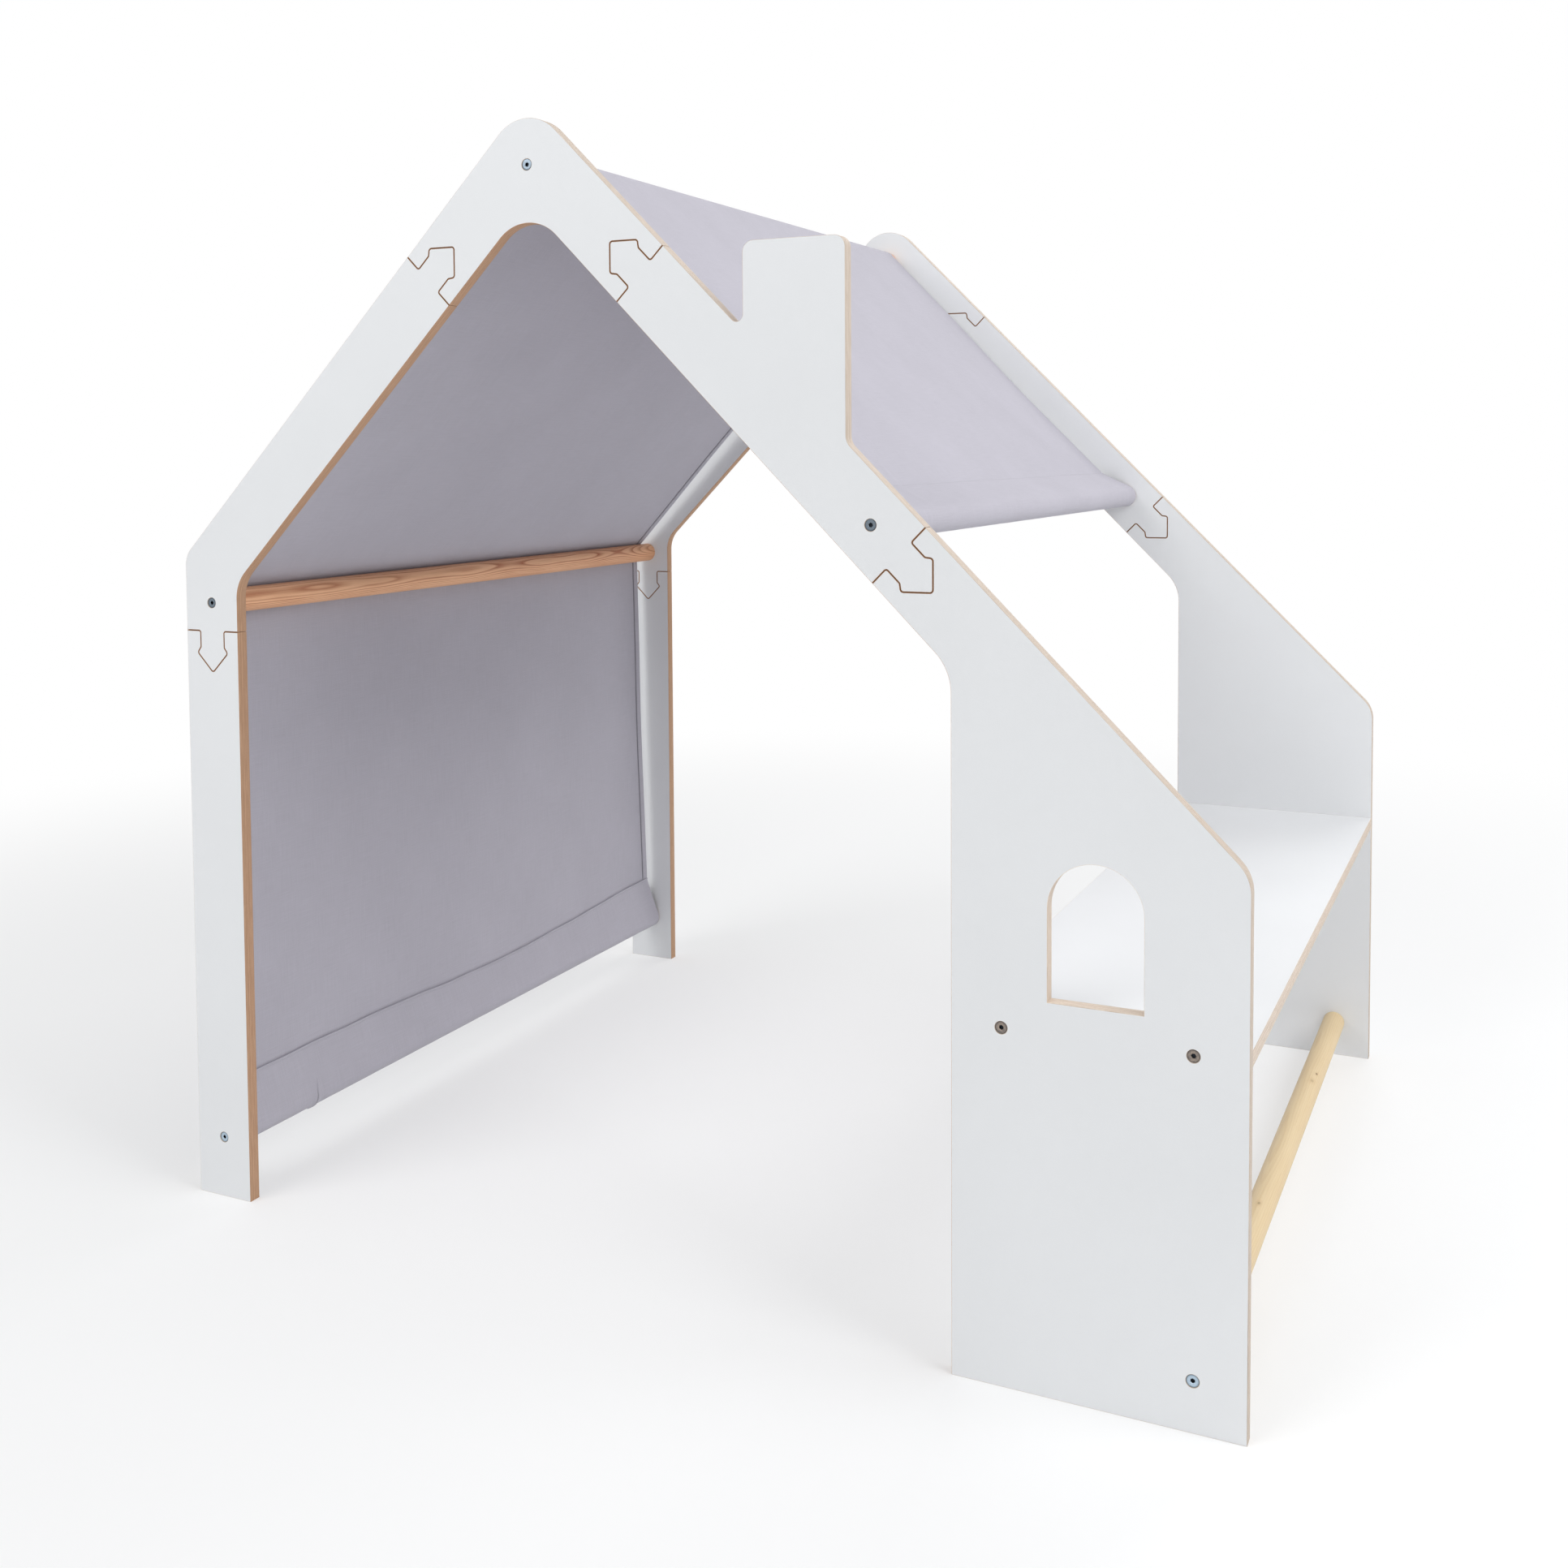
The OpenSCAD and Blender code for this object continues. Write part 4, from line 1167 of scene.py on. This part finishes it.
class PLAYHOUSE_OT_bolts(bpy.types.Operator):
    """Set the countersunk bolts in both frames and plate the fittings behind them."""
    bl_idname = "playhouse.bolts"
    bl_label = "Bolts and fittings"

    def execute(self, context):
        given = settings(context)
        finishes = given["finishes"]
        zinc, bronze = zinc_metal(finishes), bronze_metal(finishes)
        tree = bolts_at_points()
        pattern = linked("bolt_pattern", bolt_mesh(given["bolts"]))
        counter_axes = FrameShape(given["frames"]).counter_bolts()
        for side, face_y, facing, seed in (
                ("front", POST_LOW.y, -math.pi / 2, 17), ("rear", REAR_HIGH.y, math.pi / 2, 16)):
            for group, axes, painted_reflection, finish in (
                    ("dowel", DOWEL_AXES, BOLT_PAINTED_REFLECTION, zinc), ("table", counter_axes, (0.0, 0.0), bronze)):
                spots = bpy.data.meshes.new("bolt_spots")
                spots.from_pydata([(axis[0], face_y, axis[1]) for axis in axes], [], [])
                # Painted reflection: how bright each bolt's plating is painted
                set_values(spots, "painted_reflection", "FLOAT", painted_reflection)
                node = side + "_" + group + "_bolts"
                mesh = grown(tree, linked("bolt_spots", spots), {
                    "Bolt": pattern, "Facing": (facing, 0.0, 0.0), "Seed": seed, "Finish": finish})
                piece(node + "_set", mesh, "zinc_hardware", node)
        bpy.data.objects.remove(pattern)
        for node in ("front_dowel_inserts", "rear_dowel_inserts", "table_barrel_nuts"):
            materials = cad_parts[node].data.materials
            materials.clear()
            materials.append(zinc)
        return {"FINISHED"}


# Cloth cover

# Angle between two rows of the cloth round a dowel
BEND_STEP = math.radians(9)
# Lengths of the waves across and along the sheet: in the stretched cloth, in the puckers and in the seams
BROAD_WAVES = ((0.83, 0.61), (-0.47, 0.74), (0.31, -0.52))
SEAM_RIPPLES = ((0.047, 0.9), (0.071, -0.7), (0.029, 1.3), (0.113, 0.5))
SEAM_STRAYS = ((0.37, 1.0), (0.19, 1.0), (0.11, 1.0))


def smooth_ends(u, share):
    """Rises from 0 at both ends of a run to 1 within a share of it."""
    t = np.clip(np.minimum(u, 1 - u) / share, 0, 1)
    return t * t * (3 - 2 * t)


def cloth_run(start, end, step, widths, draw=0.0, slack=0.0, hem=0.0, ripple=(0.0, 0.0), everywhere=0.0):
    """Rows of the cloth along a straight run: X, Z, half width, slack, side hem and ripple."""
    size = np.linalg.norm(end - start)
    count = max(3, math.ceil(size / step))
    u = np.arange(count) / count
    fade = 0.035
    puckers = ripple[0] * np.exp(-u * size / fade) + ripple[1] * np.exp((u - 1) * size / fade) + everywhere
    return np.column_stack((
        start[0] + (end[0] - start[0]) * u, start[1] + (end[1] - start[1]) * u,
        widths[0] + (widths[1] - widths[0]) * u - draw * 4 * u * (1 - u),
        slack * smooth_ends(u, 0.5), hem * smooth_ends(u, 0.02), puckers))


def cloth_bend(centre, start, sweep, radius, width, everywhere=0.0):
    """Rows of the cloth round a dowel, from a direction and clockwise by an angle."""
    count = max(4, math.ceil(sweep / BEND_STEP))
    rows = [[*(centre + radius * turned(start, -sweep * k / count)), width, 0.0, 0.0, everywhere]
            for k in range(count)]
    return np.array(rows)


def tangent(start, axis, radius, side):
    """Direction from a point past a circle, on its left (1) or its right (-1)."""
    way = axis - start
    return turned(unit(way), side * math.asin(radius / np.linalg.norm(way)))


class ClothPath:
    """The cloth's middle layer from the wall's hem edge round four dowels to the roof's hem edge."""

    def __init__(self, cloth):
        r = DOWEL_R + cloth.clearance + cloth.thickness / 2
        wide, full = SPAN / 2 - cloth.side_gap, SPAN / 2 - cloth.sleeve_gap
        wall = tangent(WALL_HEM_AXIS, EAVE_AXIS, r, 1)
        slope = unit(RIDGE_AXIS - EAVE_AXIS)
        roof = -tangent(ROOF_HEM_AXIS, RIDGE_AXIS, r, -1)
        wall_half, roof_half = math.asin(r / cloth.wall_sleeve), math.asin(r / cloth.roof_sleeve)
        wall_out, slope_out, roof_out = left_of(wall), left_of(slope), left_of(roof)
        # A hem lies behind its seam, and its folded edge stands off a little above it
        ply = 1.15 * cloth.thickness
        lip = ply + cloth.flap_gap
        wall_seam = WALL_HEM_AXIS + wall * cloth.wall_sleeve
        wall_hem = wall_seam - wall_out * ply
        wall_edge = wall_seam - wall_out * lip + wall * cloth.flap
        roof_seam = ROOF_HEM_AXIS - roof * cloth.roof_sleeve
        roof_hem = roof_seam - roof_out * ply
        roof_edge = roof_seam - roof_out * lip - roof * cloth.flap
        wall_in = turned(-wall_out, wall_half)
        wall_back = turned(wall_out, -wall_half)
        roof_on = turned(roof_out, roof_half)
        roof_in = turned(-roof_out, -roof_half)
        # Distances between rows, and how far the sleeves pucker
        close, fine, coarse = 0.001, 0.004, 0.010
        ruffle, bend_ruffle = 0.8, 0.25
        parts = [
            cloth_run(wall_edge, wall_hem, close, (wide, wide)),
            cloth_run(wall_hem, WALL_HEM_AXIS + wall_in * r, fine, (wide, full), everywhere=ruffle),
            cloth_bend(WALL_HEM_AXIS, wall_in, math.pi + 2 * wall_half, r, full, bend_ruffle),
            cloth_run(WALL_HEM_AXIS + wall_back * r, wall_seam, fine, (full, wide), everywhere=ruffle),
            cloth_run(wall_seam, EAVE_AXIS + wall_out * r, coarse, (wide, wide),
                      draw=cloth.wall_draw, slack=1.0, hem=1.0, ripple=(1.0, 0.2)),
            cloth_bend(EAVE_AXIS, wall_out, bearing(wall_out) - bearing(slope_out), r, wide),
            cloth_run(EAVE_AXIS + slope_out * r, RIDGE_AXIS + slope_out * r, coarse, (wide, wide),
                      draw=cloth.slope_draw, slack=1.0, hem=1.0, ripple=(0.2, 0.2)),
            cloth_bend(RIDGE_AXIS, slope_out, bearing(slope_out) - bearing(roof_out), r, wide),
            cloth_run(RIDGE_AXIS + roof_out * r, roof_seam, coarse, (wide, wide),
                      draw=cloth.roof_draw, slack=1.0, hem=1.0, ripple=(0.2, 1.0)),
            cloth_run(roof_seam, ROOF_HEM_AXIS + roof_on * r, fine, (wide, full), everywhere=ruffle),
            cloth_bend(ROOF_HEM_AXIS, roof_on, math.pi + 2 * roof_half, r, full, bend_ruffle),
            cloth_run(ROOF_HEM_AXIS + roof_in * r, roof_hem, fine, (full, wide), everywhere=ruffle),
            cloth_run(roof_hem, roof_edge, close, (wide, wide)),
        ]
        self.rows = np.vstack(parts + [[[*roof_edge, wide, 0.0, 0.0, 0.0]]])
        # The hems and the seams are rows at which one of the parts starts
        starts = np.cumsum([0] + [len(part) for part in parts])
        self.wall_hem_row, self.wall_seam_row = starts[1], starts[4]
        self.roof_seam_row, self.roof_hem_row = starts[9], starts[12]
        self.tuck_rows = (starts[1], starts[3])
        self.middle = self.rows[:, :2]
        along = np.gradient(self.middle, axis=0)
        along /= np.linalg.norm(along, axis=1)[:, None]
        self.outward = np.column_stack((-along[:, 1], along[:, 0]))
        self.run = np.concatenate(([0], np.cumsum(np.linalg.norm(np.diff(self.middle, axis=0), axis=1))))
        self.wide, self.full = wide, full
        self.wall, self.roof = wall, roof
        wall_reach, roof_reach = 0.75 * cloth.wall_sleeve, 0.75 * cloth.roof_sleeve
        self.at_wall_seam = (
            self.by_row(self.wall_hem_row, wall_reach) + self.by_row(self.wall_seam_row, wall_reach))
        self.at_roof_seam = (
            self.by_row(self.roof_hem_row, roof_reach) + self.by_row(self.roof_seam_row, roof_reach))

    def by_row(self, row, reach):
        """1 at a seam's row and beyond it at a hem edge, falling to 0 over a reach along the cloth."""
        share = np.clip(1 - abs(self.run - self.run[row]) / reach, 0, 1)
        if row == self.wall_hem_row:
            share[:row] = 1
        if row == self.roof_hem_row:
            share[row:] = 1
        return share


def wavy(y, run, lengths):
    """A smooth uneven wave over the sheet, from about -1 to 1."""
    total = 0.0
    for k, (across, along) in enumerate(lengths):
        total = total + np.sin(math.tau * (y / across + run / along) + 1.7 * k)
    return total / len(lengths)


def bell(off, width):
    """1 where an offset is 0, falling smoothly to 0 within about two widths."""
    return np.exp(-(off / width) ** 2)


class ClothSheet:
    """The cloth as two grids of points, its outer and its inner face."""

    def __init__(self, cloth):
        path = self.path = ClothPath(cloth)
        half_w, slack, side_hem, ripple = np.split(path.rows[:, 2:], 4, axis=1)
        self.hem_t = hem = 1 - cloth.side_hem_w / path.wide
        self.tuck_t = tuck = cloth.tuck_y / path.full
        # Even columns across the sheet, with closer ones beside the side hems and at the tuck
        step = 0.0003 / path.wide
        columns = np.concatenate((
            np.linspace(-1, 1, 81), [side * (hem + k * step) for side in (-1, 1) for k in (-9, -5, -1, 1)],
            tuck + np.linspace(-0.03, 0.03, 21), tuck + np.linspace(-0.008, 0.008, 19)))
        self.columns = t = np.unique(columns.round(6))
        self.across = y = half_w * t
        self.run = run = np.repeat(path.run[:, None], len(t), axis=1)
        tuck_lift, tuck_painted_shade = self.tuck(cloth)
        lift = cloth.wave_h * slack * wavy(y, run, BROAD_WAVES)
        lift = lift + cloth.ripple_h * ripple * (wavy(y, run, SEAM_RIPPLES) + 0.6)
        lift = lift + tuck_lift
        even = np.ones(len(t))
        middle_at = np.stack((np.outer(path.middle[:, 0], even), y, np.outer(path.middle[:, 1], even)), 2)
        out = np.insert(path.outward, 1, 0.0, axis=1)[:, None, :]
        middle_at = middle_at + out * lift[:, :, None]
        # The wall's seam dips behind its middle and rises at the rear
        dip_y, dip_w, rise_y, rise_w = 0.05, 0.2, SPAN / 2, 0.17
        stray = cloth.seam_stray * wavy(y, 0.0, SEAM_STRAYS)
        dip = cloth.seam_dip * bell(y - dip_y, dip_w)
        rise = cloth.seam_rise * bell(y - rise_y, rise_w)
        for shift, at_seam, direction in (
                (stray - dip + rise, path.at_wall_seam, path.wall), (stray, path.at_roof_seam, path.roof)):
            middle_at[:, :, 0] += shift * at_seam[:, None] * direction[0]
            middle_at[:, :, 2] += shift * at_seam[:, None] * direction[1]
        groove = (abs(t) < hem) & (abs(t) > hem - 6 * step)
        extra = side_hem * (cloth.side_hem_t * (abs(t) > hem) - cloth.side_groove * groove)
        self.outer = middle_at + out * cloth.thickness / 2
        self.inner = middle_at - out * (cloth.thickness / 2 + extra)[:, :, None]
        # Painted shade: the tuck's valley on the outer face and the side hems' grooves on the inner face
        # are darkened by colour
        self.painted_crease_shade = 0.8 * np.stack((tuck_painted_shade, side_hem * groove))

    def tuck(self, cloth):
        """How far a small tuck in the wall's sleeve lifts it, as two ridges beside a valley, and where
        painted shade darkens that valley.
        """
        first, last = self.path.tuck_rows
        ridge_w, valley_w, painted_shade_w, sway = 0.005, 0.0011, 0.0008, 0.005
        share = np.zeros((len(self.path.rows), 1))
        u = np.linspace(0, 1, last - first)[:, None]
        share[first:last] = np.clip((u - 0.27) / 0.2, 0, 1) * np.clip((0.95 - u) / 0.2, 0, 1)
        bend = np.zeros_like(share)
        bend[first:last] = -sway * np.clip((u - 0.25) / 0.4, 0, 1) ** 2
        off = (self.columns - self.tuck_t) * self.path.full - bend
        ridges = bell(off, ridge_w) * (1 - bell(off, valley_w))
        return cloth.tuck_h * share * ridges, share * bell(off, painted_shade_w)

    def mesh(self, name):
        """A closed mesh with a UV map in metres along and across the sheet."""
        count_s, count_t = self.across.shape
        offset = count_s * count_t
        index = np.arange(offset).reshape(count_s, count_t)
        back = index + offset
        quads = np.stack((index[:-1, :-1], index[1:, :-1], index[1:, 1:], index[:-1, 1:]), 2).reshape(-1, 4)
        behind = np.stack((back[:-1, :-1], back[:-1, 1:], back[1:, 1:], back[1:, :-1]), 2).reshape(-1, 4)
        rim = np.concatenate((index[0, :-1], index[:-1, -1], index[-1, :0:-1], index[:0:-1, 0]))
        after = np.roll(rim, -1)
        edge = np.stack((rim, after, after + offset, rim + offset), 1)
        mesh = bpy.data.meshes.new(name)
        points = np.concatenate((self.outer.reshape(-1, 3), self.inner.reshape(-1, 3)))
        mesh.from_pydata(points.tolist(), [], np.concatenate((quads, behind, edge)).tolist())
        flat = np.column_stack((self.across.ravel(), self.run.ravel()))
        flat = np.concatenate((flat, flat))
        weave = mesh.uv_layers.new(name="weave")
        corners = np.empty(len(mesh.loops), int)
        mesh.loops.foreach_get("vertex_index", corners)
        weave.data.foreach_set("uv", flat[corners].ravel())
        set_values(mesh, "painted_crease_shade", "FLOAT", self.painted_crease_shade)
        return mesh

    def across_line(self, grid, row):
        """A line of stitches across the sheet."""
        inside = abs(self.columns) < 0.995
        return grid[row, inside]

    def side_line(self, grid, t, first, last):
        """A line of stitches along the sheet at a share of its half width."""
        column = np.searchsorted(self.columns, t)
        low, high = self.columns[column - 1], self.columns[column]
        share = (t - low) / (high - low)
        return (grid[:, column - 1] * (1 - share) + grid[:, column] * share)[first:last]


class PLAYHOUSE_OT_cloth(bpy.types.Operator):
    """Stretch the cloth cover over its dowels and sew its hems."""
    bl_idname = "playhouse.cloth"
    bl_label = "Cloth cover"

    def execute(self, context):
        given = settings(context)
        cloth, finishes = given["cloth"], given["finishes"]
        sheet = ClothSheet(cloth)
        mesh = sheet.mesh("cloth_cover")
        mesh.materials.append(woven_cloth(finishes, cloth.thread))
        shade(mesh, sharp=math.radians(60))
        cover = piece("cloth_cover", mesh, "cover_cloth", "fabric_cover")
        stitches = piece("cover_stitches", self.stitches(sheet, cloth, finishes), "cover_cloth")
        return {"FINISHED"}

    def stitches(self, sheet, cloth, finishes):
        """Stitches of the two hem seams and of the side hems, on both faces of the cloth."""
        path = sheet.path
        inset = 0.002
        sewn_at = sheet.hem_t + inset / path.wide
        rows = (path.wall_hem_row, path.wall_seam_row, path.roof_seam_row, path.roof_hem_row)
        lines = [sheet.across_line(sheet.outer, row) for row in rows]
        for t in (-sewn_at, sewn_at):
            for grid in (sheet.outer, sheet.inner):
                lines.append(sheet.side_line(grid, t, path.wall_seam_row, path.roof_seam_row))
        points = np.concatenate(lines)
        starts = np.cumsum([0] + [len(line) for line in lines])
        edges = [(k, k + 1) for a, b in zip(starts[:-1], starts[1:]) for k in range(a, b - 1)]
        thread = bpy.data.meshes.new("seam_lines")
        thread.from_pydata(points.tolist(), edges, [])
        return grown(stitches_along_lines(), linked("seam_lines", thread), {
            "Pitch": cloth.stitch_pitch, "Length": cloth.stitch_l, "Radius": cloth.stitch_r,
            "Finish": sewing_thread(finishes)})


# Studio

# Softboxes: place, target, width, height and power
SOFTBOXES = {
    "front_softbox": ((-1.9, -3.7, 3.3), (0.0, 0.0, 0.6), 3.0, 3.0, 80.0),
    "side_softbox": ((2.6, -0.5, 2.6), (0.2, 0.5, 0.8), 2.2, 2.2, 58.0),
    "rear_softbox": ((0.9, 3.5, 3.7), (0.0, 0.0, 0.6), 3.0, 2.6, 56.0),
}


def seen_white(tree):
    """1 for rays that see the background directly, in a reflection or through something clear."""
    ray = add(tree, "ShaderNodeLightPath").outputs
    seen = math_node(tree, "MAXIMUM", ray["Is Camera Ray"], ray["Is Glossy Ray"])
    return math_node(tree, "MAXIMUM", seen, ray["Is Transmission Ray"])


class PLAYHOUSE_OT_studio(bpy.types.Operator):
    """Set up the pale floor, the soft light and the camera."""
    bl_idname = "playhouse.studio"
    bl_label = "Studio"

    def execute(self, context):
        studio = settings(context)["studio"]
        context.scene.view_settings.view_transform = "Standard"
        self.sky(context.scene, studio)
        self.floor(studio)
        for name, (at, target, width, height, power) in SOFTBOXES.items():
            lamp = bpy.data.lights.new(name, "AREA")
            lamp.shape = "RECTANGLE"
            lamp.size, lamp.size_y = width, height
            lamp.energy = power
            box = linked(name, lamp)
            box.location = at
            box.rotation_euler = (Vector(target) - Vector(at)).to_track_quat("-Z", "Y").to_euler()
        self.camera(context.scene, studio)
        return {"FINISHED"}

    def sky(self, scene, studio):
        """Even light from all round, and white where it is seen."""
        world = bpy.data.worlds.new("studio_sky")
        world.use_nodes = True
        tree = world.node_tree
        lit = tree.nodes["Background"]
        feed(tree, lit, {"Strength": studio.sky, "Color": rgba(studio.sky_tint)})
        white = add(tree, "ShaderNodeBackground", {"Color": WHITE, "Strength": 1.0})
        either = add(tree, "ShaderNodeMixShader", {
            0: seen_white(tree), 1: lit.outputs[0], 2: white.outputs[0]})
        tree.links.new(either.outputs[0], tree.nodes["World Output"].inputs["Surface"])
        scene.world = world

    def floor(self, studio):
        """A round floor that keeps the shadow and turns into the white background further out."""
        bm = bmesh.new()
        bmesh.ops.create_circle(bm, cap_ends=True, radius=studio.floor_r, segments=96)
        floor = linked("studio_floor", mesh_from(bm, "studio_floor"))

        def build(tree, shader):
            tone = rgba([studio.floor_tone] * 3)
            feed(tree, shader, {"Base Color": tone, "Roughness": 0.9, "Specular IOR Level": 0.0})
            white_share = ranged(
                tree, distance(tree, object_place(tree)), 0.45 * studio.floor_fade, studio.floor_fade,
                1 - studio.floor_shade, 1.0, smooth=True)
            white_share = math_node(tree, "MULTIPLY", white_share, seen_white(tree))
            white = add(tree, "ShaderNodeEmission", {"Color": WHITE, "Strength": 1.0})
            either = add(tree, "ShaderNodeMixShader", {
                0: white_share, 1: shader.outputs[0], 2: white.outputs[0]})
            tree.links.new(either.outputs[0], tree.nodes["Material Output"].inputs["Surface"])
        floor.data.materials.append(finish_of("studio_floor", build))

    def camera(self, scene, studio):
        """The photograph's view."""
        yaw, pitch, roll = studio.camera_yaw, studio.camera_pitch, studio.camera_roll
        level = Vector((math.cos(yaw), math.sin(yaw), 0.0))
        ahead = Vector((-math.sin(yaw) * math.cos(pitch), math.cos(yaw) * math.cos(pitch), math.sin(pitch)))
        steep = level.cross(ahead)
        right = level * math.cos(roll) + steep * math.sin(roll)
        up = steep * math.cos(roll) - level * math.sin(roll)
        lens = bpy.data.cameras.new("camera")
        lens.lens = studio.camera_lens
        lens.shift_y = studio.camera_shift
        camera = linked("camera", lens)
        turn = Matrix((right, up, -ahead)).transposed().to_4x4()
        camera.matrix_world = Matrix.Translation(studio.camera_at) @ turn
        scene.camera = camera


# Add-on

class PLAYHOUSE_PT_tools(bpy.types.Panel):
    """Sizes, colours and steps of the playhouse."""
    bl_idname = "PLAYHOUSE_PT_tools"
    bl_label = "Playhouse"
    bl_space_type = "VIEW_3D"
    bl_region_type = "UI"
    bl_category = "Playhouse"

    def draw(self, context):
        for name, values in settings(context).items():
            box = self.layout.box()
            box.label(text=name.capitalize())
            for key in values.__annotations__:
                box.prop(values, key)
        for step in STEPS:
            self.layout.operator(step.bl_idname)


GROUPS = {
    "frames": PLAYHOUSE_PG_frames,
    "dowels": PLAYHOUSE_PG_dowels,
    "bolts": PLAYHOUSE_PG_bolts,
    "cloth": PLAYHOUSE_PG_cloth,
    "finishes": PLAYHOUSE_PG_finishes,
    "studio": PLAYHOUSE_PG_studio,
}
STEPS = (
    PLAYHOUSE_OT_studio, PLAYHOUSE_OT_frames, PLAYHOUSE_OT_counter, PLAYHOUSE_OT_dowels, PLAYHOUSE_OT_bolts,
    PLAYHOUSE_OT_cloth)
CLASSES = (*GROUPS.values(), *STEPS, PLAYHOUSE_PT_tools)


def register():
    for cls in CLASSES:
        bpy.utils.register_class(cls)
    for name, group in GROUPS.items():
        setattr(bpy.types.Scene, "playhouse_" + name, bpy.props.PointerProperty(type=group))


def unregister():
    for name in GROUPS:
        delattr(bpy.types.Scene, "playhouse_" + name)
    for cls in reversed(CLASSES):
        bpy.utils.unregister_class(cls)


def main():
    register()
    bpy.ops.playhouse.studio()
    bpy.ops.playhouse.frames()
    bpy.ops.playhouse.counter()
    bpy.ops.playhouse.dowels()
    bpy.ops.playhouse.bolts()
    bpy.ops.playhouse.cloth()


if __name__ == "__main__":
    main()
